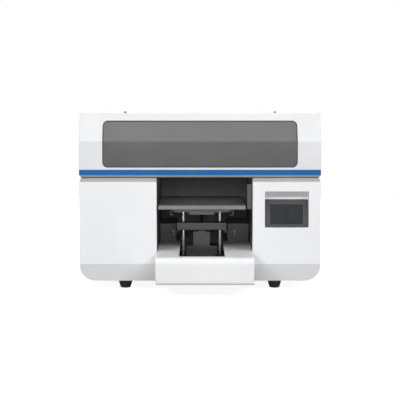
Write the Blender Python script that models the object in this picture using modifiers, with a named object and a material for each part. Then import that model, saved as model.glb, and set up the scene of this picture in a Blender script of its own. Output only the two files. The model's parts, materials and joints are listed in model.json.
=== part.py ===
"""Flatbed UV printer: a desktop machine that prints on flat goods with UV-cured ink.

X runs to the right as seen from the front, Y to the back and Z up. The origin is on the floor, at the
centre of the machine's footprint. A depth is a distance behind the front panels of the body.
"""

import math

import bmesh
import bpy
from mathutils import Matrix, Vector

# Driving dimensions, in metres.
BODY_WIDTH = 0.920
BODY_DEPTH = 0.700
TRAY_REACH = 0.195
FRONT_Y = TRAY_REACH - (BODY_DEPTH + TRAY_REACH) / 2
HALF = BODY_WIDTH / 2
GAP = 0.0003
SHEET = 0.003

# Lower body.
BODY_BOTTOM = 0.034
BODY_TOP = 0.430
CORNER_RADIUS = 0.057
FACET_TOP = 0.102
FACET_SETBACK = 0.025
CHAMFER_RUN = 0.007
CHAMFER_HEIGHT = 0.0148
COVER_DEPTH = 0.030
REAR_FACE = 0.696
FOOT_X = 0.2893
FOOT_DEPTHS = {"front": 0.085, "rear": 0.620}
FOOT_RADII = (0.0285, 0.0195)
PAN_TOP = BODY_BOTTOM + SHEET

# Table bay, open at the front and at the top.
BAY_LEFT = -0.1653
BAY_RIGHT = 0.2007
BAY_BACK = 0.650
LINER = 0.002

# Deck between the lower body and the hood.
DECK_TOP = 0.433
DECK_HALF = 0.458
DECK_FRONT = 0.0085
DECK_FRONT_HALF = 0.4515
DECK_STEP = 0.104

# Hood and its front lid.
HOOD_BOTTOM = DECK_TOP + GAP
HOOD_TOP = 0.677
LID_SEAM = 0.105
SEAM_HALF = 0.0005
LID_BEND = 0.570
LID_SLOPE_RUN = 0.055
LIP_TOP = 0.442
LIP_UNDERCUT = 0.007
STRIPE_TOP = 0.462
WINDOW_HALF = 0.370
WINDOW_BOTTOM = 0.472
WINDOW_TOP = 0.647
WINDOW_RADIUS = 0.019
HINGE_X = 0.2885
HINGE_RADIUS = 0.0022
HINGE_Z = HOOD_TOP + 0.0025

# Screen in the right front panel.
SCREEN_X = (0.2486, 0.4127)
SCREEN_Z = (0.243, 0.348)
SCREEN_SETBACK = 0.028
SCREEN_GLASS = (0.1245, 0.0766)
SCREEN_DROP = 0.0046
BEZEL_THICKNESS = 0.0034
POCKET_MARGIN = 0.0015
POCKET_FLOOR = 0.0039
POCKET_MOUTH = 0.005
POCKET_LEDGE = 0.356
POCKET_TOP = 0.380

# Tray and the bed under it.
TRAY_X = (-0.164, 0.200)
TRAY_Z = (0.0497, 0.150)
TRAY_BACK = 0.344
TRAY_NOSE = 0.025
TRAY_HEM = 0.010
SLOT_X = (-0.078, 0.092)
SLOT_FRONT = -0.147
BED_X = (-0.155, 0.191)
BED_Z = (0.056, 0.062)
BED_DEPTHS = (-0.178, 0.645)
REST_DEPTH = 0.400
REST_INNER_X = (-0.098, 0.113)
REST_Z = (0.176, 0.215)
REST_STEP = 0.030

# Height sensor beside the table.
SENSOR_X = 0.180
SENSOR_DEPTHS = (0.040, 0.054)
SENSOR_Z = (0.308, 0.405)

# Table lift.
LIFT_X = 0.0065
LIFT_DEPTH = 0.220
RAIL_SPREAD = 0.040
RAIL_WIDTH = 0.015
RAIL_HEIGHT = 0.015
CARRIAGE_PLATE_Z = (0.100, 0.111)
COLUMN_WIDTH = 0.069
COLUMN_WALL = 0.003
COLUMN_NOTCH = 0.006
COLUMN_TAB = 0.015
CROSSBAR_Z = (0.211, 0.241)
CROSSBAR_WIDTH = 0.198
CROSSBAR_THICKNESS = 0.050
ROD_SPREAD = 0.0725
ROD_RADIUS = 0.006
ROD_BOTTOM = 0.100
FRAME_Z = (0.280, 0.3097)
FRAME_X = (-0.115, 0.1305)
FRAME_DEPTHS = (0.090, 0.350)
FRAME_FOOT = 0.013
FRAME_WALL = 0.0025
BOSS_BOTTOM = 0.2714
BOSS_HALF = 0.050
PLATFORM_X = (-0.1595, 0.1745)
PLATFORM_DEPTHS = (0.005, 0.445)
PLATFORM_Z = (0.310, 0.325)
SCREW_RADIUS = 0.006
SCREW_BOTTOM = CARRIAGE_PLATE_Z[1] + 0.0015
NUT_RADIUS = 0.014

# Belt drives: each belt runs round two pulleys of the same size.
PULLEY_RADIUS = 0.008
FLANGE_RADIUS = 0.0105
BELT_THICKNESS = 0.0015
BELT_WIDTH = 0.0094
SHAFT_RADIUS = 0.0025
MOTOR_SIZE = 0.042
Y_PULLEY_Z = 0.084
Y_PULLEY_DEPTHS = (-0.120, 0.610)
X_PULLEY_X = 0.425
X_PULLEY_Z = 0.613

# Gantry and print carriage.
GANTRY_DEPTHS = (0.300, 0.360)
GANTRY_Z = (0.520, 0.600)
GANTRY_X = (-0.395, 0.445)
X_RAIL_Z = (0.5525, 0.5675)
CARRIAGE_X = 0.335
CARRIAGE_HALF = 0.090
CARRIAGE_DEPTHS = (0.150, 0.283)
CARRIAGE_PLATE = 0.006
CARRIAGE_BOTTOM = 0.442
CARRIAGE_TOP = 0.640
NOZZLE_Z = 0.434
HEAD_HALF = 0.040
HEAD_DEPTHS = (0.180, 0.240)

# Inside the cabinets.
BOARD_X = (-0.390, -0.190)
BOARD_DEPTHS = (0.450, 0.640)
RACK_X = (-0.396, -0.172)
RACK_DEPTHS = (0.055, 0.200)
RACK_HEIGHT = 0.030
TANKS = 6
TANK_HEIGHT = 0.150
SUPPLY_X = (0.225, 0.340)
SUPPLY_DEPTHS = (0.420, 0.635)
SUPPLY_HEIGHT = 0.050

# Rear inlet with its rocker switch.
INLET_X = -0.330
INLET_Z = 0.110
ROCKER_X = -0.288
ROCKER_PIVOT_DEPTH = 0.690
ROCKER_TILT = math.radians(7)

# Finish: base colour, roughness and metallic value.
FINISHES = {
    "white_paint": ((0.80, 0.81, 0.82), 0.38, 0.0),
    "blue_paint": ((0.02, 0.15, 0.45), 0.35, 0.0),
    "taupe_plastic": ((0.33, 0.28, 0.24), 0.5, 0.0),
    "smoked_acrylic": ((0.10, 0.10, 0.11), 0.12, 0.0),
    "dark_steel": ((0.035, 0.036, 0.038), 0.5, 0.6),
    "black_plastic": ((0.02, 0.02, 0.022), 0.55, 0.0),
    "black_rubber": ((0.012, 0.012, 0.013), 0.8, 0.0),
    "anodised": ((0.12, 0.12, 0.125), 0.42, 0.8),
    "aluminium": ((0.55, 0.56, 0.57), 0.38, 0.9),
    "chrome": ((0.80, 0.80, 0.82), 0.08, 1.0),
    "zinc": ((0.45, 0.46, 0.47), 0.4, 0.8),
    "screen_glass": ((0.03, 0.035, 0.04), 0.08, 0.0),
    "circuit_board": ((0.01, 0.11, 0.05), 0.5, 0.0),
    "brass": ((0.60, 0.42, 0.15), 0.3, 1.0),
}

for old in list(bpy.data.objects):
    bpy.data.objects.remove(old, do_unlink=True)

PRINTER = bpy.data.collections.new("flatbed_uv_printer")
CUTTERS = bpy.data.collections.new("cutters")
bpy.context.scene.collection.children.link(PRINTER)
bpy.context.scene.collection.children.link(CUTTERS)

# An extrusion's outline holds (y, z) along X, (x, z) along Y and (x, y) along Z.
AXIS_FRAMES = {
    "X": Matrix(((0, 0, 1), (1, 0, 0), (0, 1, 0))),
    "Y": Matrix(((1, 0, 0), (0, 0, -1), (0, 1, 0))),
    "Z": Matrix.Identity(3),
}


def at(depth):
    """The y of a depth behind the front panels."""
    return FRONT_Y + depth


def depths(front, back):
    return (at(front), at(back))


def around(centre, half):
    """The limits of a span around its centre."""
    return (centre - half, centre + half)


def material(name, finish):
    """A Principled material of the piece's own, with one of the named finishes."""
    colour, roughness, metallic = FINISHES[finish]
    made = bpy.data.materials.new(name)
    made.use_nodes = True
    shader = made.node_tree.nodes["Principled BSDF"]
    shader.inputs["Base Color"].default_value = (*colour, 1.0)
    shader.inputs["Roughness"].default_value = roughness
    shader.inputs["Metallic"].default_value = metallic
    return made


def add(name, bm, finish):
    """Makes an object of a bmesh; with no finish it is a cutter or another helper."""
    mesh = bpy.data.meshes.new(name)
    bmesh.ops.recalc_face_normals(bm, faces=bm.faces)
    bm.to_mesh(mesh)
    bm.free()
    obj = bpy.data.objects.new(name, mesh)
    if finish is None:
        CUTTERS.objects.link(obj)
        obj.hide_render = True
        obj.display_type = "WIRE"
    else:
        PRINTER.objects.link(obj)
        mesh.materials.append(material(name, finish))
    return obj


def block(name, x, y, z, finish=None, bevel=0.0, segments=1):
    """A box between the limits of x, y and z."""
    bm = bmesh.new()
    bmesh.ops.create_cube(bm, size=1.0)
    bmesh.ops.scale(bm, vec=[high - low for low, high in (x, y, z)], verts=bm.verts)
    obj = add(name, bm, finish)
    obj.location = [(low + high) / 2 for low, high in (x, y, z)]
    if bevel:
        round_edges(obj, bevel, segments)
    return obj


def blocks(name, limits):
    """One cutter of several boxes that don't touch."""
    bm = bmesh.new()
    for x, y, z in limits:
        made = bmesh.ops.create_cube(bm, size=1.0)
        bmesh.ops.scale(bm, vec=[high - low for low, high in (x, y, z)], verts=made["verts"])
        centre = [(low + high) / 2 for low, high in (x, y, z)]
        bmesh.ops.translate(bm, vec=centre, verts=made["verts"])
    return add(name, bm, None)


def cylinder(name, radius, centre, axis, length, finish=None, segments=24):
    """A round bar around its centre, along X, Y or Z."""
    bm = bmesh.new()
    bmesh.ops.create_cone(
        bm, cap_ends=True, segments=segments, radius1=radius, radius2=radius, depth=length
    )
    obj = add(name, bm, finish)
    obj.location = centre
    obj.rotation_euler = AXIS_FRAMES[axis].to_euler()
    smooth(obj)
    return obj


def filleted(corners, steps=6):
    """An outline through (u, v, radius) corners, each rounded by an arc of its radius."""
    outline = []
    for index, (u, v, radius) in enumerate(corners):
        here = Vector((u, v))
        if not radius:
            outline.append((u, v))
            continue
        before = (Vector(corners[index - 1][:2]) - here).normalized()
        after = (Vector(corners[(index + 1) % len(corners)][:2]) - here).normalized()
        half = before.angle(after) / 2
        centre = here + (before + after).normalized() * radius / math.sin(half)
        start = here + before * radius / math.tan(half) - centre
        end = here + after * radius / math.tan(half) - centre
        first = math.atan2(start.y, start.x)
        turn = (math.atan2(end.y, end.x) - first + math.pi) % (2 * math.pi) - math.pi
        for step in range(steps + 1):
            angle = first + turn * step / steps
            outline.append(
                (centre.x + radius * math.cos(angle), centre.y + radius * math.sin(angle))
            )
    return outline


def inset(outline, distance):
    """An anticlockwise outline moved inwards by a distance."""
    moved = []
    for index, point in enumerate(outline):
        here = Vector(point)
        before = (here - Vector(outline[index - 1])).normalized()
        after = (Vector(outline[(index + 1) % len(outline)]) - here).normalized()
        first = Vector((-before.y, before.x))
        second = Vector((-after.y, after.x))
        miter = (first + second) / (1 + first.dot(second))
        moved.append(tuple(here + miter * distance))
    return moved


def extrusion(name, loops, axis, span, finish=None):
    """A flat outline, with any holes as further loops, drawn out along an axis."""
    curve = bpy.data.curves.new(name, "CURVE")
    curve.dimensions = "2D"
    curve.fill_mode = "BOTH"
    curve.extrude = (span[1] - span[0]) / 2
    for loop in loops:
        spline = curve.splines.new("POLY")
        spline.points.add(len(loop) - 1)
        spline.use_cyclic_u = True
        for point, (u, v) in zip(spline.points, loop):
            point.co = (u, v, 0, 1)
    guide = bpy.data.objects.new(name, curve)
    bpy.context.scene.collection.objects.link(guide)
    evaluated = guide.evaluated_get(bpy.context.evaluated_depsgraph_get())
    flat = bpy.data.meshes.new_from_object(evaluated)
    bm = bmesh.new()
    bm.from_mesh(flat)
    bmesh.ops.remove_doubles(bm, verts=bm.verts, dist=1e-6)
    bpy.data.objects.remove(guide)
    bpy.data.curves.remove(curve)
    bpy.data.meshes.remove(flat)
    obj = add(name, bm, finish)
    obj.matrix_world = AXIS_FRAMES[axis].to_4x4()
    obj.location["XYZ".index(axis)] = (span[0] + span[1]) / 2
    return obj


def turned(name, profile, centre, axis, finish, steps=20):
    """A turned piece: its profile holds (radius, height) points, top to bottom."""
    mesh = bpy.data.meshes.new(name)
    points = [(radius, 0, height) for radius, height in profile]
    closed = profile[0][0] > 0
    edges = [(i, i + 1) for i in range(len(points) - 1)]
    if closed:
        edges.append((len(points) - 1, 0))
    mesh.from_pydata(points, edges, [])
    obj = bpy.data.objects.new(name, mesh)
    PRINTER.objects.link(obj)
    mesh.materials.append(material(name, finish))
    screw = obj.modifiers.new("turn", "SCREW")
    screw.steps = steps
    screw.render_steps = steps
    screw.use_merge_vertices = True
    screw.merge_threshold = 0.00005
    obj.location = centre
    obj.rotation_euler = AXIS_FRAMES[axis].to_euler()
    return obj


def round_edges(obj, width, segments=1):
    bevel = obj.modifiers.new("rounded edges", "BEVEL")
    bevel.width = width
    bevel.segments = segments
    bevel.limit_method = "ANGLE"
    bevel.angle_limit = math.radians(40)


def smooth(obj):
    obj.data.shade_smooth()
    obj.data.set_sharp_from_angle(angle=math.radians(35))


def combine(obj, other, operation):
    boolean = obj.modifiers.new(other.name, "BOOLEAN")
    boolean.operation = operation
    boolean.solver = "EXACT"
    boolean.object = other


def cut(obj, *cutters):
    for cutter in cutters:
        combine(obj, cutter, "DIFFERENCE")


def weld(obj, *others):
    for other in others:
        combine(obj, other, "UNION")


# ---------------------------------------------------------------- lower body


def body_outline(x_low, x_high, margin=0.0):
    """The body's (x, z) section, rounded below and chamfered above where it meets a side."""
    shoulder = BODY_TOP - CHAMFER_HEIGHT
    corners = [
        (x_low, BODY_BOTTOM, CORNER_RADIUS if x_low == -HALF else 0),
        (x_high, BODY_BOTTOM, CORNER_RADIUS if x_high == HALF else 0),
    ]
    if x_high == HALF:
        corners += [(x_high, shoulder, 0), (x_high - CHAMFER_RUN, BODY_TOP, 0)]
    else:
        corners.append((x_high, BODY_TOP, 0))
    if x_low == -HALF:
        corners += [(x_low + CHAMFER_RUN, BODY_TOP, 0), (x_low, shoulder, 0)]
    else:
        corners.append((x_low, BODY_TOP, 0))
    outline = filleted(corners)
    return inset(outline, margin) if margin else outline


def cover_profile(back, margin=0.0):
    """The front panel's (y, z) section: top chamfer, upright face and lower facet."""
    outline = [
        (at(0), FACET_TOP),
        (at(FACET_SETBACK), BODY_BOTTOM),
        (at(back), BODY_BOTTOM),
        (at(back), BODY_TOP),
        (at(CHAMFER_RUN), BODY_TOP),
        (at(0), BODY_TOP - CHAMFER_HEIGHT),
    ]
    return inset(outline, margin) if margin else outline


def front_cover(name, x_low, x_high):
    """A front panel folded back all round, open at the back."""
    cover = extrusion(name, [cover_profile(COVER_DEPTH)], "X", (x_low, x_high), "white_paint")
    section = extrusion(
        name + "_section",
        [body_outline(x_low, x_high)],
        "Y",
        depths(-SHEET, COVER_DEPTH + SHEET),
    )
    combine(cover, section, "INTERSECT")
    hollow = extrusion(
        name + "_hollow",
        [cover_profile(COVER_DEPTH + 2 * SHEET, SHEET)],
        "X",
        (x_low + SHEET, x_high - SHEET),
    )
    hollow_section = extrusion(
        name + "_hollow_section",
        [body_outline(x_low, x_high, SHEET)],
        "Y",
        depths(-SHEET, COVER_DEPTH + 3 * SHEET),
    )
    combine(hollow, hollow_section, "INTERSECT")
    cut(cover, hollow)
    return cover


def pocket_outline():
    """The screen pocket's (y, z) section, from in front of the panel to its leaning floor."""
    slope = SCREEN_SETBACK / (SCREEN_Z[1] - SCREEN_Z[0])
    low, high = SCREEN_Z[0] - POCKET_MARGIN, SCREEN_Z[1] + POCKET_MARGIN / 2
    floor = [at(POCKET_FLOOR + (z - SCREEN_Z[0]) * slope) for z in (low, high)]
    mouth = at(-POCKET_MOUTH)
    return [
        (mouth, low),
        (floor[0], low),
        (floor[1], high),
        (floor[1], POCKET_LEDGE),
        (at(0), POCKET_TOP),
        (mouth, POCKET_TOP + 0.8 * POCKET_MOUTH),
    ]


def screen_pocket(cover):
    """Sinks the screen's pocket into the right front panel."""
    x = (SCREEN_X[0] - POCKET_MARGIN, SCREEN_X[1] + POCKET_MARGIN)
    walls = inset(pocket_outline(), -0.002)
    walls = [(max(y, at(0.001)), z) for y, z in walls]
    weld(cover, extrusion("pocket_walls", [walls], "X", (x[0] - 0.002, x[1] + 0.002)))
    cut(cover, extrusion("pocket", [pocket_outline()], "X", x))


def screen():
    """The touch screen leans back in its pocket: a bezel, and the glass set into it."""
    rise = SCREEN_Z[1] - SCREEN_Z[0]
    lean = math.atan2(SCREEN_SETBACK, rise)
    slant = math.hypot(rise, SCREEN_SETBACK)
    width = SCREEN_X[1] - SCREEN_X[0]
    inward = Vector((0, math.cos(lean), -math.sin(lean))) * BEZEL_THICKNESS / 2
    centre = Vector((sum(SCREEN_X) / 2, at(SCREEN_SETBACK / 2), sum(SCREEN_Z) / 2)) + inward
    half = BEZEL_THICKNESS / 2
    glass_half = (SCREEN_GLASS[0] / 2, SCREEN_GLASS[1] / 2)
    rim = filleted(
        [(-width / 2, -slant / 2, 0.003), (width / 2, -slant / 2, 0.003),
         (width / 2, slant / 2, 0.003), (-width / 2, slant / 2, 0.003)], 3
    )
    glass_z = around(-SCREEN_DROP, glass_half[1])
    opening = inset(
        [(-glass_half[0], glass_z[0]), (glass_half[0], glass_z[0]),
         (glass_half[0], glass_z[1]), (-glass_half[0], glass_z[1])], -GAP
    )
    bezel = extrusion("screen_bezel", [rim, opening], "Y", (-half, half), "black_plastic")
    glass = block(
        "screen_glass",
        around(0, glass_half[0]),
        (-half + 0.0004, half),
        glass_z,
        "screen_glass",
    )
    turn = Matrix.Rotation(-lean, 4, "X")
    for piece in (bezel, glass):
        bpy.context.view_layer.update()
        piece.matrix_world = Matrix.Translation(centre) @ turn @ piece.matrix_world


def side_panel(name, side):
    """A side sheet that rolls under the body at its lower edge, with air slots near the back."""
    outer = filleted(
        [
            (-HALF + CHAMFER_RUN, BODY_TOP, 0),
            (-HALF, BODY_TOP - CHAMFER_HEIGHT, 0),
            (-HALF, BODY_BOTTOM, CORNER_RADIUS),
            (-HALF + CORNER_RADIUS + SHEET, BODY_BOTTOM, 0),
        ],
        7,
    )
    inner = filleted(
        [
            (-HALF + CORNER_RADIUS + SHEET, BODY_BOTTOM + SHEET, 0),
            (-HALF + SHEET, BODY_BOTTOM + SHEET, CORNER_RADIUS - SHEET),
            (-HALF + SHEET, BODY_TOP - CHAMFER_HEIGHT, 0),
            (-HALF + SHEET + CHAMFER_RUN, BODY_TOP, 0),
        ],
        7,
    )
    outline = [(-side * x, z) for x, z in outer + inner]
    span = depths(COVER_DEPTH + GAP, REAR_FACE - SHEET - GAP)
    panel = extrusion(name, [outline], "Y", span, "white_paint")
    slots = [
        (around(side * HALF, 2 * SHEET), around(at(0.440 + 0.016 * i), 0.002), (0.280, 0.340))
        for i in range(12)
    ]
    cut(panel, blocks(name + "_slots", slots))
    return panel


def rear_cover():
    """The lower back panel, with the inlet's opening and the outlet slots of the electronics."""
    span = depths(REAR_FACE - SHEET, REAR_FACE)
    cover = extrusion("rear_cover", [body_outline(-HALF, HALF)], "Y", span, "white_paint")
    through = depths(REAR_FACE - 2 * SHEET, REAR_FACE + SHEET)
    openings = [
        (around(INLET_X, 0.0142), through, around(INLET_Z, 0.0122)),
        (around(ROCKER_X, 0.0072), through, around(INLET_Z, 0.0105)),
    ]
    openings += [
        (around(0.280, 0.045), through, around(0.110 + 0.010 * i, 0.0022)) for i in range(10)
    ]
    cut(cover, blocks("rear_openings", openings))


def base_pan():
    half = HALF - CORNER_RADIUS - SHEET - GAP
    block(
        "base_pan",
        (-half, half),
        depths(COVER_DEPTH + GAP, REAR_FACE - SHEET - GAP),
        (BODY_BOTTOM, PAN_TOP),
        "dark_steel",
    )


def foot(name, x, depth):
    top, bottom = FOOT_RADII
    height = BODY_BOTTOM - GAP
    profile = [
        (0, height), (top - 0.002, height), (top, height - 0.003), (bottom, 0.003),
        (bottom - 0.003, 0), (0, 0),
    ]
    turned(name, profile, (x, at(depth), 0), "Z", "black_rubber", 24)


def bay_liner():
    """One folded sheet: the bay's two side walls and its back wall."""
    left, right, back, front = BAY_LEFT, BAY_RIGHT, at(BAY_BACK), at(COVER_DEPTH + GAP)
    outline = [
        (left - LINER, front), (left, front), (left, back), (right, back),
        (right, front), (right + LINER, front), (right + LINER, back + LINER),
        (left - LINER, back + LINER),
    ]
    extrusion("bay_liner", [outline], "Z", (PAN_TOP + GAP, BODY_TOP), "dark_steel")


def deck_plate():
    """The plate that the hood and the gantry stand on. It leaves the bay open."""
    front, back, bay_back = at(DECK_FRONT), at(REAR_FACE - 0.003), at(BAY_BACK)
    narrow, wide, step = DECK_FRONT_HALF, DECK_HALF, at(DECK_STEP)
    outline = [
        (-narrow, front), (BAY_LEFT, front), (BAY_LEFT, bay_back), (BAY_RIGHT, bay_back),
        (BAY_RIGHT, front), (narrow, front), (narrow, step), (wide, step), (wide, back),
        (-wide, back), (-wide, step), (-narrow, step),
    ]
    plate = extrusion("deck_plate", [outline], "Z", (BODY_TOP + GAP, DECK_TOP), "dark_steel")
    hole = block(
        "cap_hole",
        around(CARRIAGE_X, 0.0400),
        depths(HEAD_DEPTHS[0] - 0.004, HEAD_DEPTHS[1] + 0.004),
        (BODY_TOP - 0.005, DECK_TOP + 0.005),
    )
    cut(plate, hole)


# ---------------------------------------------------------------- hood and lid


def upper_shell():
    """The fixed hood: top, sides and back in one moulding, open below and at the lid."""
    shell = block(
        "upper_shell",
        (-HALF, HALF),
        depths(LID_SEAM + SEAM_HALF, REAR_FACE),
        (HOOD_BOTTOM, HOOD_TOP),
        "white_paint",
    )
    hollow = block(
        "upper_shell_hollow",
        (-HALF + SHEET, HALF - SHEET),
        depths(LID_SEAM - SHEET, REAR_FACE - SHEET),
        (HOOD_BOTTOM - SHEET, HOOD_TOP - SHEET),
    )
    cut(shell, hollow)


def lid_profile(bottom, back=LID_SEAM - SEAM_HALF):
    """The lid's (y, z) section: upright front, slope, and a short flat top."""
    return [
        (at(0), bottom),
        (at(back), bottom),
        (at(back), HOOD_TOP),
        (at(LID_SLOPE_RUN), HOOD_TOP),
        (at(0), LID_BEND),
    ]


def window_outline(margin=0.0):
    low, high = WINDOW_BOTTOM - margin, WINDOW_TOP + margin
    half = WINDOW_HALF + margin
    radius = WINDOW_RADIUS + margin
    return filleted(
        [(-half, low, radius), (half, low, radius), (half, high, radius), (-half, high, radius)]
    )


def lid():
    """The lid opens with its window, its stripe and the lip under them."""
    shell = extrusion(
        "lid_shell", [lid_profile(STRIPE_TOP + GAP)], "X", (-HALF, HALF), "white_paint"
    )
    deep = LID_SEAM + 4 * SHEET
    inner = inset(lid_profile(STRIPE_TOP - 4 * SHEET, deep), SHEET)
    hollow = extrusion("lid_hollow", [inner], "X", (-HALF + SHEET, HALF - SHEET))
    through = depths(-SHEET, 0.100)
    hole = extrusion("lid_window_hole", [window_outline(GAP)], "Y", through)
    cut(shell, hollow, hole)

    outer_face = lid_profile(STRIPE_TOP + GAP, 0.090)
    pane = extrusion("lid_window", [outer_face], "X", (-HALF + SHEET, HALF - SHEET), "smoked_acrylic")
    combine(pane, extrusion("lid_pane_edge", [window_outline()], "Y", through), "INTERSECT")
    cut(pane, extrusion("lid_pane_back", [inner], "X", (-HALF, HALF)))

    lid_stripe()
    lid_lip()


def lid_stripe():
    """The blue strip along the lid's lower edge, with a short return on each side."""
    front, back = at(0), at(LID_SEAM - SEAM_HALF)
    side = HALF
    outline = [
        (-side, front), (side, front), (side, back), (side - SHEET, back),
        (side - SHEET, front + SHEET), (-side + SHEET, front + SHEET),
        (-side + SHEET, back), (-side, back),
    ]
    extrusion("lid_stripe", [outline], "Z", (LIP_TOP + GAP, STRIPE_TOP), "blue_paint")


def lid_lip():
    """The undercut edge below the stripe: its front and both ends slope inwards."""
    back = at(LID_SEAM - SEAM_HALF)
    section = [
        (at(0), LIP_TOP), (at(LIP_UNDERCUT), HOOD_BOTTOM), (back, HOOD_BOTTOM), (back, LIP_TOP),
    ]
    lip = extrusion("lid_lip", [section], "X", (-HALF, HALF), "taupe_plastic")
    low = HALF - LIP_UNDERCUT
    ends = [(-HALF, LIP_TOP), (-low, HOOD_BOTTOM), (low, HOOD_BOTTOM), (HALF, LIP_TOP)]
    through = (at(-SHEET), back + SHEET)
    combine(lip, extrusion("lid_lip_ends", [ends], "Y", through), "INTERSECT")
    hollow = block(
        "lid_lip_hollow",
        around(0, low - SHEET),
        (at(LIP_UNDERCUT + SHEET), back + SHEET),
        (HOOD_BOTTOM - SHEET, LIP_TOP + SHEET),
    )
    cut(lip, hollow)


def lid_hinge(name, x):
    """The fixed half of a lid hinge: a barrel on the hinge line and its leaf on the hood."""
    hinge = cylinder(
        name, HINGE_RADIUS, (x, at(LID_SEAM), HINGE_Z), "X", 0.010, "black_plastic", 16
    )
    weld(
        hinge,
        block(
            name + "_leaf",
            around(x, 0.0045),
            depths(LID_SEAM + 0.001, LID_SEAM + 0.016),
            (HOOD_TOP + GAP, HOOD_TOP + 0.0016),
        ),
    )


# ---------------------------------------------------------------- tray and bed


def tray_profile(back):
    return filleted(
        [
            (at(-TRAY_REACH), TRAY_Z[0], TRAY_HEM),
            (at(back), TRAY_Z[0], 0),
            (at(back), TRAY_Z[1], 0),
            (at(-TRAY_REACH), TRAY_Z[1], TRAY_NOSE),
        ],
        7,
    )


def tray():
    """The white tray that covers the bed, with a slot that the lift column runs along."""
    cover = extrusion("tray", [tray_profile(TRAY_BACK)], "X", TRAY_X, "white_paint")
    inner_x = (TRAY_X[0] + SHEET, TRAY_X[1] - SHEET)
    hollow = extrusion(
        "tray_hollow", [inset(tray_profile(TRAY_BACK + 2 * SHEET), SHEET)], "X", inner_x
    )
    below = block(
        "tray_below",
        inner_x,
        depths(BED_DEPTHS[0] - 2 * SHEET, TRAY_BACK + SHEET),
        (TRAY_Z[0] - SHEET, TRAY_Z[0] + 2 * SHEET),
    )
    slot = block(
        "tray_slot",
        SLOT_X,
        depths(SLOT_FRONT, TRAY_BACK + SHEET),
        (TRAY_Z[1] - 3 * SHEET, TRAY_Z[1] + SHEET),
    )
    cut(cover, hollow, below, slot)


def bed_frame():
    """The plate that carries the Y rails, its two feet on the pan and the idler's ears."""
    frame = block("bed_frame", BED_X, depths(*BED_DEPTHS), BED_Z, "anodised")
    for name, depth in (("front", 0.060), ("rear", 0.600)):
        leg = block(
            f"bed_{name}_leg", BED_X, depths(depth, depth + 0.040), (PAN_TOP + GAP, BED_Z[1] - 0.001)
        )
        weld(frame, leg)
    for side in (-1, 1):
        x = LIFT_X + side * 0.012
        ear = block(
            f"idler_ear_{side}",
            around(x, 0.002),
            around(at(Y_PULLEY_DEPTHS[0]), 0.006),
            (BED_Z[1] - 0.001, Y_PULLEY_Z + 0.006),
        )
        weld(frame, ear)
    centre = (LIFT_X, at(Y_PULLEY_DEPTHS[0]), Y_PULLEY_Z)
    cut(frame, cylinder("idler_bore", SHAFT_RADIUS + GAP, centre, "X", 0.040))


def rest_profile(bottom):
    """The (y, z) section of the blocks behind the tray, with their overhanging front."""
    step, back = REST_DEPTH + REST_STEP, BAY_BACK - 0.005
    return [
        (at(step), bottom), (at(back), bottom), (at(back), REST_Z[1]),
        (at(REST_DEPTH), REST_Z[1]), (at(REST_DEPTH), REST_Z[0]), (at(step), REST_Z[0]),
    ]


def table_rest(name, x):
    """A stepped cover beside the lift's path, behind the tray, open below."""
    rest = extrusion(name, [rest_profile(BED_Z[1] + GAP)], "X", x, "dark_steel")
    inner = inset(rest_profile(BED_Z[1] - 3 * SHEET), SHEET)
    cut(rest, extrusion(name + "_hollow", [inner], "X", (x[0] + SHEET, x[1] - SHEET)))


def height_sensor():
    """The post beside the table whose beam finds the height of the goods."""
    x = (SENSOR_X, BAY_RIGHT - GAP)
    post = block("height_sensor", x, depths(*SENSOR_DEPTHS), SENSOR_Z, "anodised", 0.001)
    eye = (SENSOR_X, at(sum(SENSOR_DEPTHS) / 2), SENSOR_Z[1] - 0.010)
    cut(post, cylinder("sensor_eye", 0.003, eye, "X", 0.004, segments=12))


# ---------------------------------------------------------------- belt drives


def pulley_profile(bore, low_end, high_end):
    """A flanged belt pulley; a bored one runs on a pin, a solid one has its shaft."""
    belt = BELT_WIDTH / 2 + GAP
    rim = belt + 0.001
    outer = [
        (FLANGE_RADIUS, rim), (FLANGE_RADIUS, belt), (PULLEY_RADIUS, belt),
        (PULLEY_RADIUS, -belt), (FLANGE_RADIUS, -belt), (FLANGE_RADIUS, -rim),
    ]
    if bore:
        return [(bore, rim), *outer, (bore, -rim)]
    upper = [(0, high_end), (SHAFT_RADIUS, high_end), (SHAFT_RADIUS, rim)] if high_end else [(0, rim)]
    lower = [(SHAFT_RADIUS, -rim), (SHAFT_RADIUS, low_end), (0, low_end)] if low_end else [(0, -rim)]
    return upper + outer + lower


def belt(name, axis, ends, level, across):
    """A closed belt round two pulleys, whose centres are at the two ends in u and at one level in v."""
    loops = []
    for radius in (PULLEY_RADIUS + GAP + BELT_THICKNESS, PULLEY_RADIUS + GAP):
        low, high = ends[0] - radius, ends[1] + radius
        bottom, top = level - radius, level + radius
        corners = [(low, bottom, radius), (high, bottom, radius), (high, top, radius), (low, top, radius)]
        loops.append(filleted(corners))
    extrusion(name, loops, axis, around(across, BELT_WIDTH / 2), "black_rubber")


def table_drive():
    """The belt under the table's carriage, with its motor at the back."""
    front, back = (at(depth) for depth in Y_PULLEY_DEPTHS)
    belt("y_belt", "X", (front, back), Y_PULLEY_Z, LIFT_X)
    motor_x = LIFT_X + 0.0155
    turned(
        "y_drive_pulley",
        pulley_profile(0, 0, motor_x - GAP - LIFT_X),
        (LIFT_X, back, Y_PULLEY_Z),
        "X",
        "aluminium",
    )
    turned(
        "y_idler_pulley",
        pulley_profile(0, -0.0145, 0.0145),
        (LIFT_X, front, Y_PULLEY_Z),
        "X",
        "aluminium",
    )
    block(
        "y_motor",
        (motor_x, motor_x + 0.048),
        around(back, MOTOR_SIZE / 2),
        around(Y_PULLEY_Z, MOTOR_SIZE / 2),
        "black_plastic",
        0.004,
    )


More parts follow.
